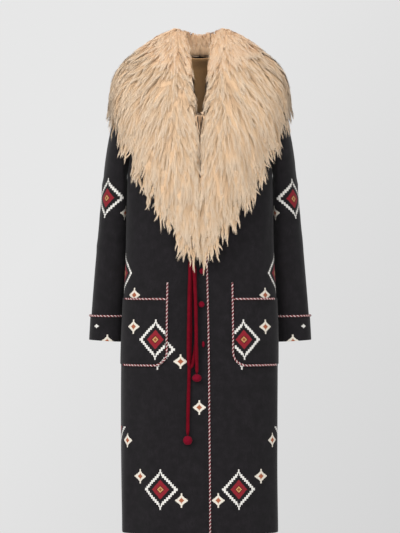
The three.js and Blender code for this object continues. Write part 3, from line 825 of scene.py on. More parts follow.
def fur_material():
    """Lamb hair: warm and darker at the root, partly as painted shade deep in the pile, paler to the tip,
    each lock in its own tone.
    """
    fur = settings("coat_fur")
    material, tree, shader = new_material("lamb_fur", 0.6, sheen=0.05, sheen_roughness=0.4)
    along = Wire(tree, attribute(tree, "along").outputs["Fac"])
    tone = Wire(tree, attribute(tree, "tone").outputs["Fac"])
    # Painted shade in part: the hair is darker towards the root, where the pile is deep; the paler tips are
    # the hair's own.
    low = blended(tree, between(tree, along, 0.0, 0.55), tuple(fur.root), tuple(fur.middle))
    full = blended(tree, between(tree, along, 0.55, 1.0), low, tuple(fur.tip))
    shaded = blended(tree, between(tree, tone, 0.0, 1.0, 0.0, 0.12), full, dimmed(fur.root, 0.6))
    plug(tree, shaded, shader.inputs["Base Color"])
    geometry = tree.nodes.new("ShaderNodeNewGeometry").outputs
    facing = Wire(tree, attribute(tree, "facing").outputs["Vector"])
    combed = Wire(tree, attribute(tree, "combed").outputs["Fac"])
    soft = blended(tree, combed * 0.6, Wire(tree, geometry["Normal"]), facing)
    plug(tree, soft, shader.inputs["Normal"])
    return material


def skin_material():
    """What lies between the locks: the same hair, packed and in shade."""
    fur = settings("coat_fur")
    material, tree, shader = new_material("lamb_underfur", 0.8, sheen=0.1)
    streaks = grain(tree, object_place(tree, (1, 1, 0.12)), 420, 4.0, 0.7)
    tone = blended(tree, between(tree, streaks, 0.3, 0.7), dimmed(fur.root, 0.85), dimmed(fur.middle, 0.93))
    plug(tree, tone, shader.inputs["Base Color"])
    bumped(tree, shader, streaks, 1.5 * MM, 0.6)
    return material


# ---- Fur --------------------------------------------------------------------------------------
PARTING = 75 * MM  # the fur parts at this distance from the centre line
FAN = 0.36  # how far the hair in front leans outwards as it falls
SWAY = 0.13  # how far a lock turns from its neighbours' way
NECK_MIDDLE = np.array([0, 20, 0]) * MM
NECK_RADIUS, NECK_FADE = 95 * MM, 40 * MM
OFF_FACE = 0.2 * MM  # rays start this far off the face
HIDDEN_WITHIN = dict(coat=60 * MM, coat_in_neck=22 * MM, other_half=3 * MM, itself=40 * MM)
AT_EDGE = 0.5 * MM  # hair this far past the collar's face has left it
# A lock of the face and one of the fringe. extra: strands more than the settings'; width: how far
# they spread at the root; drawn_in: the share of it gone at the tip, and bend how it goes; crimp:
# against the settings'; shortest: a strand's least share of its lock.
FACE_LOCK = dict(steps=6, extra=0, width=2.9 * MM, drawn_in=0.70, bend=1.2, crimp=1.0, shortest=0.80)
FRINGE_LOCK = dict(steps=9, extra=2, width=3.2 * MM, drawn_in=0.93, bend=0.8, crimp=1.3, shortest=0.86)
LIFT = 1.2 * MM  # how far a strand lies above or below its lock's middle
STRAY = 4.5 * MM  # how far the tip of a lock of the fringe strays
TILT = 0.7  # how far a strand is turned about its own length
NECK_DENSER = 3.0
SKIN_DEPTH = 8 * MM
SKIN_PROBE = 90 * MM  # the skin draws back where the edge is nearer than this
ROOT_DEPTH = 8 * MM
TIP_RISE = 2.5 * MM
SHORTEST = 24 * MM
FRINGE = 58 * MM  # how far the skin stays back from the tips at the collar's lower edge
FRINGE_ROOTS = (40 * MM, 78 * MM)  # how far above the edge the fringe's locks start
FRINGE_PAST = (-17 * MM, 10 * MM)  # and how far past it they end
LOW_TIP_PAST = 17 * MM  # how much further it hangs at the lowest point
SHORT_OF_EDGE = (-46 * MM, -16 * MM)  # where the other locks end
NECK_PAST = (-4 * MM, 9 * MM)  # and where they end inside the neck
NECK_FRONT_PAST = 9 * MM  # how much further in front of it


def face_arrays(mesh):
    """Corners, normals and areas of a mesh's triangles."""
    mesh.calc_loop_triangles()
    points = points_of(mesh)
    corners = np.array([t.vertices[:] for t in mesh.loop_triangles])
    a, b, c = (points[corners[:, k]] for k in range(3))
    normals = np.cross(b - a, c - a)
    areas = np.linalg.norm(normals, axis=1) / 2
    return (a, b, c), normals / np.maximum(2 * areas[:, None], 1e-12), areas


def outer_faces(side):
    """The triangles of the collar's hairy face.

    Left out are those that look at the coat or the other half, and the rim along the tips.
    """
    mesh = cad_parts[f"collar_{side}"].data
    other = "left" if side == "right" else "right"
    coat = tree_of(*BODY_NODES, "sleeve_right", "sleeve_left")
    rest, itself = tree_of(f"collar_{other}"), tree_of(f"collar_{side}")
    near, far = HIDDEN_WITHIN["coat_in_neck"], HIDDEN_WITHIN["coat"]
    (a, b, c), normals, areas = face_arrays(mesh)
    centres = (a + b + c) / 3
    in_neck = (np.abs(centres[:, 0]) < 60 * MM) & (centres[:, 2] > -250 * MM)
    open_face = np.array([
        all(tree.ray_cast(Vector(start), Vector(n), within)[0] is None for tree, within in (
            (coat, near if inside else far), (rest, HIDDEN_WITHIN["other_half"]),
            (itself, HIDDEN_WITHIN["itself"])))
        for start, n, inside in zip(centres + normals * OFF_FACE, normals, in_neck)])
    downwards = unit(np.stack([FAN * np.sign(centres[:, 0]), 0 * areas, 0 * areas - 1], 1))
    rim = ((normals * downwards).sum(1) > 0.5) & ~in_neck
    keep = open_face & ~rim & (areas > 1e-8)
    return a[keep], b[keep], c[keep], normals[keep], areas[keep]


def unit(ways):
    return ways / np.maximum(np.linalg.norm(ways, axis=-1, keepdims=True), 1e-9)


def off_neck(points):
    """The level way from the neck's middle to each point."""
    away = points - NECK_MIDDLE
    away[:, 2] = 0
    return unit(away)


def in_the_neck(points, further=0.0):
    """1 about the neck's opening, 0 well away from it."""
    away = np.linalg.norm(points - NECK_MIDDLE, axis=1) - further
    return np.clip(1 - (away - NECK_RADIUS) / NECK_FADE, 0, 1)


def ramp(value, start, span):
    """0 up to the start, 1 from a span beyond it on."""
    return np.clip((value - start) / span, 0, 1)


def hair_way(points, normals):
    """The way the hair lies: down the slope, away from the parting, and off the neck."""
    side = np.where(points[:, 0] < 0, -1.0, 1.0)
    x, y, z = np.abs(points[:, 0]), points[:, 1], points[:, 2]
    way = np.zeros_like(points)
    way[:, 2] = -1.0
    in_front = ramp(-y, 0.01, 0.05)
    outwards = FAN * ramp(x, PARTING - 16 * MM, 60 * MM) * ramp(z, -0.36, 0.22) + 0.10 * ramp(x, 0, 0.12)
    inwards = 0.55 * ramp(-x, -PARTING, 40 * MM) * ramp(z, -0.42, 0.26)
    behind = 0.30 * ramp(x, 0, 0.15)
    way[:, 0] += side * (in_front * (outwards - inwards) + (1 - in_front) * behind)
    away = off_neck(points)
    facing_out = np.clip((normals * away).sum(1) * 4 + 1, 0, 1)
    crown = np.clip(normals[:, 2], 0, 1)
    way += away * (crown ** 1.5 * facing_out)[:, None] * 0.6
    way -= normals * (way * normals).sum(1)[:, None]
    return unit(way)


def hair_lengths(points, random):
    """Shorter inside the neck and on the crown, longest on the chest and back."""
    fur = settings("coat_fur")
    height = np.clip((0.055 - points[:, 2]) / 0.16, 0, 1)
    return fur.hair_length * (0.45 + 0.55 * height) * random.uniform(0.75, 1.15, len(points))


def scattered(faces, amount, random):
    """Points spread over triangles, closer together in the neck, with the triangles' normals."""
    a, b, c, normals, areas = faces
    weights = areas * (1 + NECK_DENSER * in_the_neck((a + b + c) / 3))
    pick = random.choice(len(areas), amount, p=weights / weights.sum())
    s, t = random.random((2, amount))
    fold = s + t > 1
    s[fold], t[fold] = 1 - s[fold], 1 - t[fold]
    return a[pick] + s[:, None] * (b[pick] - a[pick]) + t[:, None] * (c[pick] - a[pick]), normals[pick]


def face_tree(faces):
    corners = np.stack(faces[:3], axis=1).reshape(-1, 3)
    thirds = [(3 * i, 3 * i + 1, 3 * i + 2) for i in range(len(faces[0]))]
    return BVHTree.FromPolygons([Vector(p) for p in corners], thirds)


def nearest(envelope, points):
    """The face's points nearest to these, with what is up there."""
    held = [envelope.find_nearest(Vector(p))[:2] for p in points]
    return np.array([p[:] for p, _ in held]), np.array([n[:] for _, n in held])


def comb(envelope, start, normals, step, steps, sway):
    """Follows the hair over the collar's face: places, what is up there, and how far past its edge."""
    flat, way = start.copy(), hair_way(start, normals)
    places, ups, past = [flat], [normals], [np.zeros(len(flat))]
    for _ in range(steps):
        turned = hair_way(flat, normals)
        turned = turned + np.cross(normals, turned) * sway[:, None]
        way = unit(0.4 * way + 0.6 * unit(turned))
        ahead = flat + way * step[:, None]
        spots, fresh = nearest(envelope, ahead)
        overhang = ahead - spots
        overhang -= fresh * (overhang * fresh).sum(1)[:, None]
        flat = spots + overhang
        normals = unit(0.5 * normals + 0.5 * fresh)
        places.append(flat)
        ups.append(normals)
        past.append(np.linalg.norm(overhang, axis=1))
    return np.stack(places, 1), np.stack(ups, 1), np.stack(past, 1)


def first_crossing(past, limit):
    """The share of the way at which a line first gets further than the limit past the edge."""
    steps = past.shape[1] - 1
    over = past > limit[:, None]
    k = np.where(over.any(1), over.argmax(1), steps)
    rows = np.arange(len(past))
    low, high = past[rows, np.maximum(k - 1, 0)], past[rows, k]
    part = np.clip((limit - low) / np.maximum(high - low, 1e-6), 0, 1)
    return np.where(over.any(1), (k - 1 + part) / steps, 1.0)


def resampled(lines, share, steps):
    """The first share of each line, in so many steps."""
    old_steps = lines.shape[1] - 1
    places = np.linspace(0, 1, steps + 1)[None] * share[:, None] * old_steps
    low = np.minimum(places.astype(int), old_steps - 1)
    part = (places - low)[..., None]
    rows = np.arange(len(lines))[:, None]
    return lines[rows, low] * (1 - part) + lines[rows, low + 1] * part


def lock_lines(faces, envelope, amount, random, fringe):
    """The middle lines of the locks, what is up along them, and what is up on the collar there.

    The fringe's locks start close above the collar's edge and hang past it; the others end before it.
    """
    steps = (FRINGE_LOCK if fringe else FACE_LOCK)["steps"]
    roots, normals = scattered(faces, amount, random)
    lengths = hair_lengths(roots, random)
    hanging = FRINGE_ROOTS[1] + FRINGE_PAST[1] + LOW_TIP_PAST
    probe = np.full(amount, hanging) if fringe else lengths - SHORT_OF_EDGE[0]
    sway = random.normal(0, SWAY, amount)
    probe_steps = steps + 3
    flat, ups, past = comb(envelope, roots, normals, probe / probe_steps, probe_steps, sway)
    to_edge = first_crossing(past, np.full(amount, AT_EDGE)) * probe
    if fringe:
        outside = (normals * off_neck(roots)).sum(1) > -0.1
        kept = (to_edge > FRINGE_ROOTS[0]) & (to_edge < FRINGE_ROOTS[1]) & outside
        lowest = np.clip((-0.40 - roots[:, 2]) / 0.08, 0, 1)
        end = to_edge + random.uniform(*FRINGE_PAST, amount) + LOW_TIP_PAST * lowest
    else:
        neck = in_the_neck(roots)
        over = random.uniform(*NECK_PAST, amount) + NECK_FRONT_PAST * np.clip(-roots[:, 1] / 0.03, 0, 1)
        short = random.uniform(*SHORT_OF_EDGE, amount) * (1 - neck) + over * neck
        end = np.minimum(lengths, to_edge + short)
        kept = end > SHORTEST * (1 - 0.5 * neck) * random.uniform(0.75, 1.3, amount)
    share = np.clip(end / probe, 0.05, 1)
    flat, ups, share = flat[kept], ups[kept], share[kept]
    t = np.linspace(0, 1, steps + 1)
    depth = ROOT_DEPTH * (1 - 0.85 * in_the_neck(roots[kept]))[:, None]
    rise = -depth + (depth + TIP_RISE) * t ** 0.7
    flat, ups = resampled(flat, share, steps), unit(resampled(ups, share, steps))
    return flat + ups * rise[..., None], ups


def waves(random, amount, hairs, t, size):
    """Smooth sideways waves along strands: each has its own phase and size."""
    shape = (amount, hairs, 1)
    turns = random.uniform(1.0, 2.2, shape) * math.tau
    return size * random.normal(0, 1, shape) * np.sin(turns * t + random.uniform(0, math.tau, shape))


def combed_hair(faces, envelope, locks, random, fringe=False):
    """Points and faces of the strands of many locks, with their place along the hair, tone and up."""
    fur = settings("coat_fur")
    lines, ups = lock_lines(faces, envelope, locks, random, fringe)
    across = unit(np.cross(ups, unit(np.gradient(lines, axis=1))))
    t = np.linspace(0, 1, lines.shape[1])
    lock = FRINGE_LOCK if fringe else FACE_LOCK
    amount, hairs = len(lines), fur.hairs + lock["extra"]
    shape = (amount, hairs, 1)
    spread = random.normal(0, lock["width"], shape) * (1 - lock["drawn_in"] * t ** lock["bend"])
    lift = random.normal(0, LIFT, shape) * (1 - 0.65 * t)
    crimp = fur.crimp * lock["crimp"]
    sideways = spread + waves(random, amount, 1, t, crimp) * t ** 0.5
    sideways = sideways + waves(random, amount, hairs, t, 0.45 * crimp)
    upwards = lift + waves(random, amount, 1, t, 0.5 * crimp)
    if fringe:
        sideways = sideways + random.normal(0, STRAY, (amount, 1, 1)) * t ** 3.5
    centres = lines[:, None] + across[:, None] * sideways[..., None] + ups[:, None] * upwards[..., None]
    cut = random.uniform(lock["shortest"], 1.0, shape)
    start = centres[:, :, :1]
    centres = start + (centres - start) * cut[..., None]
    ups = np.broadcast_to(ups[:, None], centres.shape).reshape(-1, len(t), 3)
    points, tris, along, tone = strands(centres.reshape(ups.shape), ups, fur.thickness, random, hairs)
    return points, tris, along, tone, np.repeat(ups.reshape(-1, 3), 2, axis=0)


def strands(centres, ups, thickness, random, hairs):
    """Tapering flat strands along the given lines, each lying on the fur with a tilt of its own."""
    amount, rings, _ = centres.shape
    ways = unit(np.gradient(centres, axis=1))
    across = unit(np.cross(ups, ways))
    tilt = random.uniform(-TILT, TILT, (amount, 1, 1))
    t = np.linspace(0, 1, rings)
    girth = thickness * random.uniform(0.7, 1.25, (amount, 1)) * (1 - 0.85 * t ** 2.4)
    half = (across * np.cos(tilt) + unit(np.cross(ways, across)) * np.sin(tilt)) * girth[..., None]
    verts = np.stack([centres - half, centres + half], axis=2)
    base = (np.arange(amount) * rings * 2)[:, None] + (np.arange(rings - 1) * 2)[None, :]
    quads = np.stack([base, base + 1, base + 3, base + 2], axis=-1).reshape(-1, 4)
    tris = np.concatenate([quads[:, [0, 1, 2]], quads[:, [0, 2, 3]]])
    along = np.repeat(np.broadcast_to(t, (amount, rings)).reshape(-1), 2)
    per_lock = np.repeat(random.uniform(0, 1, amount // hairs), hairs)
    tone = np.clip(0.6 * per_lock + 0.4 * random.uniform(0, 1, amount), 0, 1)
    return verts.reshape(-1, 3), tris, along, np.repeat(tone, rings * 2)


def write_points(mesh, **columns):
    """Writes numbers or vectors, one for each point, under their names."""
    for name, values in columns.items():
        kind, field = ("FLOAT", "value") if np.ndim(values) == 1 else ("FLOAT_VECTOR", "vector")
        layer = mesh.attributes.new(name, kind, "POINT")
        layer.data.foreach_set(field, np.asarray(values, np.float32).ravel())


def fur_skin(side, faces, envelope):
    """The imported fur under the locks: the collar's own form, smaller, and short of its lower edge."""
    mesh = rounded_mesh(f"collar_{side}", 1, rim=0.0)
    normals = np.zeros(len(mesh.vertices) * 3, np.float32)
    mesh.vertices.foreach_get("normal", normals)
    normals = normals.reshape(-1, 3).astype(float)
    points = points_of(mesh)
    spots, up = nearest(envelope, points)
    amount, steps = len(points), 8
    _, _, past = comb(envelope, spots, up, np.full(amount, SKIN_PROBE / steps), steps, np.zeros(amount))
    to_edge = first_crossing(past, np.full(amount, AT_EDGE)) * SKIN_PROBE
    pull = FRINGE * np.clip(1 - to_edge / SKIN_PROBE, 0, 1) * (1 - in_the_neck(points))
    inside = tree_of(f"collar_{side}")
    near_middle = np.abs(points[:, 0]) < 5 * MM
    points[near_middle, 0] = 0.1 * MM * np.sign(points[near_middle, 0])
    normals[near_middle, 0] = 0
    shrunk = points.copy()
    for i, (p, n) in enumerate(zip(points, normals)):
        hit = inside.ray_cast(Vector(p - n * 0.3 * MM), Vector(-n), 60 * MM)
        room = hit[3] if hit[0] is not None else 60 * MM
        shrunk[i] = p - n * min(SKIN_DEPTH, 0.42 * room)
    set_points(mesh, shrunk - hair_way(spots, up) * pull[:, None])
    return mesh


# ---- Ties, twisted piping and balls -----------------------------------------------------------
# Routes of the ties in mm, from where they come out from under the fur.
LONG_ROUTE = (
    (-20.6, -124.4, -512), (-21.4, -124.8, -530), (-21.8, -126.5, -570), (-22.8, -129.8, -628),
    (-23.3, -132.5, -697), (-25.2, -133.8, -760), (-27.2, -135.0, -824), (-28.8, -136.6, -882),
    (-29.6, -140.1, -935.5),
)
SHORT_ROUTE = (
    (-14.8, -134.6, -526), (-14.2, -135.3, -545), (-12.2, -136.8, -580), (-10.0, -139.8, -638),
    (-9.2, -142.3, -697), (-8.2, -143.4, -746), (-7.5, -141.9, -787.5),
)
LOOP_ROUTE = (
    (-13.2, -124.9, -528), (-12.4, -125.5, -545), (-11.2, -128.4, -600), (-10.0, -131.3, -658),
    (-9.6, -132.9, -701), (-10.8, -133.5, -724), (-15.5, -137.1, -752), (-19.0, -141.3, -767.5),
    (-24.0, -143.7, -772.5), (-27.5, -143.5, -761), (-27.8, -143.0, -736), (-27.2, -141.3, -678),
    (-26.2, -138.9, -620), (-24.6, -135.5, -560), (-23.8, -134.3, -530), (-23.4, -134.0, -514),
)


def tie_mesh(name, route, steps):
    """A soft round tie, uneven along its length as hand-rolled cloth is."""
    path = spline_through(np.array(route) * MM, steps)
    t = np.linspace(0, 1, len(path))
    uneven = 1 + 0.035 * np.sin(t * 31 + 1.3) + 0.02 * np.sin(t * 67)
    radius = settings("coat_trim").tie_width / 2
    ends = np.minimum(1, 0.55 + np.minimum(t, 1 - t) * len(path) * 0.3)
    verts, faces = tube(path, radius * uneven * ends, 16)
    return mesh_from(name, verts, faces), path


def centre_line(node):
    """The middle line of a node that is an open tube, ring by ring from one end."""
    bm = welded(node)
    sharp = math.radians(75)
    caps, seen = [], set()
    for face in bm.faces:
        if face in seen:
            continue
        patch, queue = set(), [face]
        while queue:
            one = queue.pop()
            if one in patch:
                continue
            patch.add(one)
            for edge in one.edges:
                if edge.calc_face_angle() < sharp:
                    queue += [f for f in edge.link_faces if f not in patch]
        seen |= patch
        caps.append(patch)
    start = min(caps, key=len)
    layer = {v for face in start for v in face.verts}
    done, rings = set(layer), []
    while layer:
        rings.append(np.mean([v.co for v in layer], axis=0))
        layer = {e.other_vert(v) for v in layer for e in v.link_edges} - done
        done |= layer
    bm.free()
    return np.array(rings)


def ring_line(node, barrel):
    """The middle line of a node that is a closed ring about a barrel."""
    points = points_of(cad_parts[node].data)
    turn = barrel.turn(points)
    slices = np.linspace(-math.pi, math.pi, 31)
    line = [points[(turn >= a) & (turn < b)].mean(0) for a, b in zip(slices, slices[1:])]
    return np.array(line + line[:1])


# The two yarns of the piping: where each starts, how thick it is, and how far off the middle it runs.
YARNS = ((0, 1.6 * MM), (math.pi, 1.2 * MM))
WOUND = 1.2 * MM
STEPS_A_TURN = 10


def twisted_mesh(name, path, closed=False):
    """Two yarns wound round each other along a path."""
    trim = settings("coat_trim")
    total = path_length(path)
    turns = max(1, round(total / trim.twist_pitch))
    steps = turns * STEPS_A_TURN
    line = even_steps(path, steps)
    if closed:
        line = line[:-1]
    across, upright = frames_along(line, closed)
    angle = np.arange(len(line)) * (turns * math.tau / steps)
    parts = []
    for start, thick in YARNS:
        wound = np.cos(angle + start)[:, None] * across + np.sin(angle + start)[:, None] * upright
        parts.append(tube(line + wound * WOUND, thick, 6, closed))
    points, faces, owner = joined(parts)
    mesh = mesh_from(name, points, faces)
    mesh.polygons.foreach_set("material_index", owner.astype(np.int32))
    return mesh


# How fine the unevenness of a felt ball is, and how deep, against its radius.
LUMPS = (2.1, 0.05)
FUZZ = (14, 0.018)


def felt_ball(node, seed):
    """A ball of felted wool, slightly uneven."""
    low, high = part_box(node)
    centre, half = (low + high) / 2, (high - low) / 2
    bm = bmesh.new()
    bmesh.ops.create_icosphere(bm, subdivisions=4, radius=1)
    for vert in bm.verts:
        way = vert.co.normalized()
        lumps = noise.noise(way * LUMPS[0] + Vector((seed, 0, 0))) * LUMPS[1]
        fuzz = noise.noise(way * FUZZ[0] + Vector((0, seed, 0))) * FUZZ[1]
        out = way * (0.985 + lumps + fuzz)
        vert.co = centre + Vector(a * b for a, b in zip(out, half))
    mesh = bpy.data.meshes.new(node + "_felt")
    bm.to_mesh(mesh)
    bm.free()
    mesh.polygons.foreach_set("use_smooth", np.ones(len(mesh.polygons), bool))
    return mesh


# ---- Making the pieces ------------------------------------------------------------------------
def cached(name, maker):
    """The material of that name, made if it isn't there yet."""
    return bpy.data.materials.get(name) or maker()


def wool(name):
    return cached(name, lambda: wool_material(name, **WOOLS[name]))


def cloth_piece(node, levels, barrel, motifs, settle):
    """A piece of felt in place of its node, with its motifs and creases."""
    mesh = rounded_mesh(node, levels)
    lay_motifs(mesh, barrel, motifs)
    set_points(mesh, settle(points_of(mesh)))
    return add_piece(node + "_felt", mesh, [cached("melange_felt", felt_material)], "coat_felt", node)


class CoatPiece:
    """What the operators share."""
    bl_options = {"REGISTER", "UNDO"}


class COAT_OT_stage(CoatPiece, bpy.types.Operator):
    """Set up the floor, the soft studio light and the camera"""
    bl_idname = "coat.stage"
    bl_label = "Stage"

    def execute(self, context):
        stage = settings("coat_stage")
        scene = context.scene
        scene.view_settings.view_transform = "Standard"
        self.make_camera(scene, stage)
        self.make_world(scene, stage)
        self.make_floor(scene, stage)
        for light in (
            dict(name="key", place=(-2.3, -3.6, 1.5), size=2.4, power=122),
            dict(name="fill", place=(0.9, -6.0, 0.3), size=2.6, power=135),
            dict(name="top", place=(0.2, 0.6, 2.6), size=2.2, power=45),
            dict(name="behind", place=(-1.5, 3.2, 1.2), size=2.4, power=35),
        ):
            self.make_light(scene, **light)
        return {"FINISHED"}

    def make_camera(self, scene, stage):
        camera = bpy.data.cameras.new("camera")
        holder = bpy.data.objects.new("camera", camera)
        scene.collection.objects.link(holder)
        camera.sensor_fit = "AUTO"
        camera.sensor_width = SENSOR
        tall = stage.view_width * PICTURE[1] / PICTURE[0]
        camera.lens = SENSOR * stage.distance / tall
        camera.clip_start, camera.clip_end = 0.1, 60
        holder.location = (0, -stage.distance, stage.eye_height)
        holder.rotation_euler = (math.pi / 2, 0, 0)
        scene.camera = holder

    def make_world(self, scene, stage):
        world = bpy.data.worlds.new("studio")
        world.use_nodes = True
        scene.world = world
        tree = world.node_tree
        seen = tree.nodes["Background"]
        way = tree.nodes.new("ShaderNodeTexCoord")
        split = tree.nodes.new("ShaderNodeSeparateXYZ")
        tree.links.new(way.outputs["Generated"], split.inputs["Vector"])
        right, _, up = (Wire(tree, output) for output in split.outputs)
        # Painted shadow on the backdrop: darker towards the lower right.
        shade = between(tree, right - up * 0.75, -0.06, 0.15)
        wall = blended(tree, shade, tuple(stage.backdrop), dimmed(stage.backdrop, 0.82))
        plug(tree, wall, seen.inputs["Color"])
        lit = tree.nodes.new("ShaderNodeBackground")
        lit.inputs["Color"].default_value = (1, 1, 1, 1)
        lit.inputs["Strength"].default_value = 0.62
        ray = tree.nodes.new("ShaderNodeLightPath")
        mix = tree.nodes.new("ShaderNodeMixShader")
        tree.links.new(ray.outputs["Is Camera Ray"], mix.inputs["Fac"])
        tree.links.new(lit.outputs[0], mix.inputs[1])
        tree.links.new(seen.outputs[0], mix.inputs[2])
        tree.links.new(mix.outputs[0], tree.nodes["World Output"].inputs["Surface"])

    def make_floor(self, scene, stage):
        bm = bmesh.new()
        bmesh.ops.create_circle(bm, cap_ends=True, segments=96, radius=1.5)
        mesh = bpy.data.meshes.new("floor")
        bm.to_mesh(mesh)
        bm.free()
        floor = bpy.data.objects.new("floor", mesh)
        floor.location.z = CAD_BOX[0].z - 0.16
        scene.collection.objects.link(floor)
        material, tree, shader = new_material("pale_floor", 0.9)
        tone = grain(tree, object_place(tree), 3, 2.0)
        cloudy = between(tree, tone, 0.3, 0.7)
        plug(tree, blended(tree, cloudy, tuple(stage.floor), dimmed(stage.floor, 0.97)),
             shader.inputs["Base Color"])
        mesh.materials.append(material)

    def make_light(self, scene, name, place, size, power):
        light = bpy.data.lights.new(name, "AREA")
        light.size, light.energy = size, power
        holder = bpy.data.objects.new(name, light)
        holder.location = place
        aim = Vector((0, 0, -0.5)) - holder.location
        holder.rotation_euler = aim.to_track_quat("-Z", "Y").to_euler()
        scene.collection.objects.link(holder)


class COAT_OT_ties(CoatPiece, bpy.types.Operator):
    """Make the red ties with their felt balls, and the loop of their bow"""
    bl_idname = "coat.ties"
    bl_label = "Ties"

    def execute(self, context):
        width = settings("coat_trim").tie_width
        velvet, felt = wool("tie_velvet"), wool("ball_wool")
        for name, route, steps, ball in (
            ("long", LONG_ROUTE, 60, "ball_long"), ("short", SHORT_ROUTE, 40, "ball_short"),
            ("loop", LOOP_ROUTE, 90, None),
        ):
            mesh, path = tie_mesh(f"tie_{name}_velvet", route, steps)
            tie = add_piece(f"tie_{name}_velvet", mesh, [velvet], "red_tie", f"tie_{name}")
            if ball:
                lump = add_piece(ball + "_felt", felt_ball(ball, steps), [felt], "red_felt", ball)
        return {"FINISHED"}


class COAT_OT_body(CoatPiece, bpy.types.Operator):
    """Make the back, the two fronts and the lining inside the neck"""
    bl_idname = "coat.body"
    bl_label = "Body"

    def execute(self, context):
        cuts = {
            "front_right": dict(motifs=front_motifs(Coat.body, RIGHT_MOTIFS), flat=(0.30, 1.20), area=0.285),
            "front_left": dict(motifs=front_motifs(Coat.body, LEFT_MOTIFS), flat=(0.30, 1.20), area=0.285),
            "back": dict(motifs=back_motifs(BACK_MOTIFS), flat=(0.56, 1.21), area=0.585),
        }
        fronts = cuts["front_right"]["motifs"] + cuts["front_left"]["motifs"]
        cuts["back"]["motifs"] += [laid for laid in fronts if laid[-1]]
        for node, cut in cuts.items():
            cloth = cloth_piece(node, 2, Coat.body, cut["motifs"], settle_body)
        mesh = rounded_mesh("back_lining", 1)
        points = points_of(mesh)
        below = points[:, 2].max() - points[:, 2]
        top = np.clip(1 - below / LINING_RISE_FROM, 0, 1)
        points -= off_neck(points) * (LINING_IN * np.clip(1 - below / LINING_IN_FROM, 0, 1) ** 0.8)[:, None]
        points[:, 2] += LINING_RISE * top
        set_points(mesh, points)
        write_points(mesh, edge=top)
        satin = cached("satin_lining", lining_material)
        lining = add_piece("back_lining_satin", mesh, [satin], "lining", "back_lining")
        return {"FINISHED"}


class COAT_OT_sleeves(CoatPiece, bpy.types.Operator):
    """Make the sleeves and their turned-back cuffs"""
    bl_idname = "coat.sleeves"
    bl_label = "Sleeves"

    def execute(self, context):
        for side in SIDES:
            arm, settle = Coat.arms[side], partial(settle_arm, side=side)
            sleeve = cloth_piece(f"sleeve_{side}", 2, arm, front_motifs(arm, SLEEVE_MOTIFS[side]), settle)
            cuff = cloth_piece(f"cuff_{side}", 3, arm, front_motifs(arm, CUFF_MOTIFS[side]), settle)
        return {"FINISHED"}


class COAT_OT_pockets(CoatPiece, bpy.types.Operator):
    """Make the patch pockets"""
    bl_idname = "coat.pockets"
    bl_label = "Pockets"

    def execute(self, context):
        for side in SIDES:
            laid = front_motifs(Coat.body, POCKET_MOTIFS[side])
            pocket = cloth_piece(f"pocket_{side}", 3, Coat.body, laid, settle_body)
        return {"FINISHED"}


class COAT_OT_piping(CoatPiece, bpy.types.Operator):
    """Make the twisted red and white piping of the front edge, pockets and cuffs"""
    bl_idname = "coat.piping"
    bl_label = "Piping"

    def execute(self, context):
        yarns = [wool("red_yarn"), wool("white_yarn")]
        for node in TWIST_NODES:
            path = settle_body(centre_line(node))
            add_piece(node + "_twist", twisted_mesh(node + "_twist", path), yarns, "twisted_piping", node)
        for side in SIDES:
            node = f"piping_cuff_{side}"
            path = settle_arm(ring_line(node, Coat.arms[side]), side)
            mesh = twisted_mesh(node + "_twist", path, closed=True)
            add_piece(node + "_twist", mesh, yarns, "twisted_piping", node)
        return {"FINISHED"}


class COAT_OT_buttons(CoatPiece, bpy.types.Operator):
    """Make the felt ball buttons"""
    bl_idname = "coat.buttons"
    bl_label = "Buttons"

    def execute(self, context):
        for seed, node in enumerate(BUTTON_NODES):
            add_piece(node + "_felt", felt_ball(node, seed), [wool("ball_wool")], "red_felt", node)
        return {"FINISHED"}


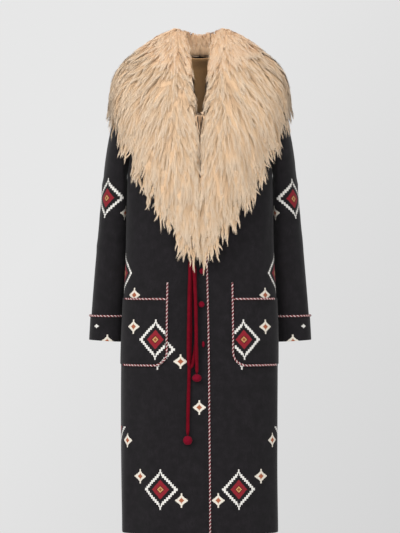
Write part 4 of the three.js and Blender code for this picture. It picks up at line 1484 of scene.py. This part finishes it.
class COAT_OT_fur(CoatPiece, bpy.types.Operator):
    """Make the fur of both halves of the collar"""
    bl_idname = "coat.fur"
    bl_label = "Fur"

    def execute(self, context):
        fur = settings("coat_fur")
        hair, skin = cached("lamb_fur", fur_material), cached("lamb_underfur", skin_material)
        random = np.random.default_rng(fur.seed)
        for side in SIDES:
            node = f"collar_{side}"
            faces = outer_faces(side)
            envelope = face_tree(faces)
            add_piece(node + "_skin", fur_skin(side, faces, envelope), [skin], "fur", node)
            chest = faces[0][:, 1] <= 0.0
            everywhere = np.ones(len(chest), bool)
            for part_name, chosen, amount, fringe in (
                ("back", ~chest, 0.15, False), ("chest", chest, 0.30, False),
                ("fringe", everywhere, 0.38, True),
            ):
                part = tuple(array[chosen] for array in faces)
                points, tris, along, tone, facing = combed_hair(
                    part, envelope, int(fur.locks * amount), random, fringe)
                name = f"fur_{part_name}_{side}"
                mesh = mesh_from(name, points, tris)
                write_points(mesh, along=along, tone=tone, facing=facing,
                             combed=1 - in_the_neck(points, further=28 * MM))
                add_piece(name, mesh, [hair], "fur", node)
        return {"FINISHED"}


class COAT_PT_panel(bpy.types.Panel):
    """Lists the coat's pieces"""
    bl_label = "Felt Coat"
    bl_idname = "COAT_PT_panel"
    bl_space_type = "VIEW_3D"
    bl_region_type = "UI"
    bl_category = "Coat"

    def draw(self, context):
        for operator in OPERATORS:
            self.layout.operator(operator.bl_idname, text=operator.bl_label)


SETTING_GROUPS = {
    "coat_cloth": CoatClothSettings, "coat_fur": CoatFurSettings,
    "coat_trim": CoatTrimSettings, "coat_stage": CoatStageSettings,
}
OPERATORS = (COAT_OT_stage, COAT_OT_ties, COAT_OT_body, COAT_OT_sleeves, COAT_OT_pockets,
             COAT_OT_piping, COAT_OT_buttons, COAT_OT_fur)


def register():
    for name, group in SETTING_GROUPS.items():
        bpy.utils.register_class(group)
        setattr(bpy.types.Scene, name, bpy.props.PointerProperty(type=group))
    for item in (*OPERATORS, COAT_PT_panel):
        bpy.utils.register_class(item)


def unregister():
    for item in (COAT_PT_panel, *reversed(OPERATORS)):
        bpy.utils.unregister_class(item)
    for name, group in reversed(SETTING_GROUPS.items()):
        delattr(bpy.types.Scene, name)
        bpy.utils.unregister_class(group)


def main():
    register()
    measure_coat()
    bpy.ops.coat.stage()
    bpy.ops.coat.ties()
    bpy.ops.coat.body()
    bpy.ops.coat.sleeves()
    bpy.ops.coat.pockets()
    bpy.ops.coat.piping()
    bpy.ops.coat.buttons()
    bpy.ops.coat.fur()


if __name__ == "__main__":
    main()
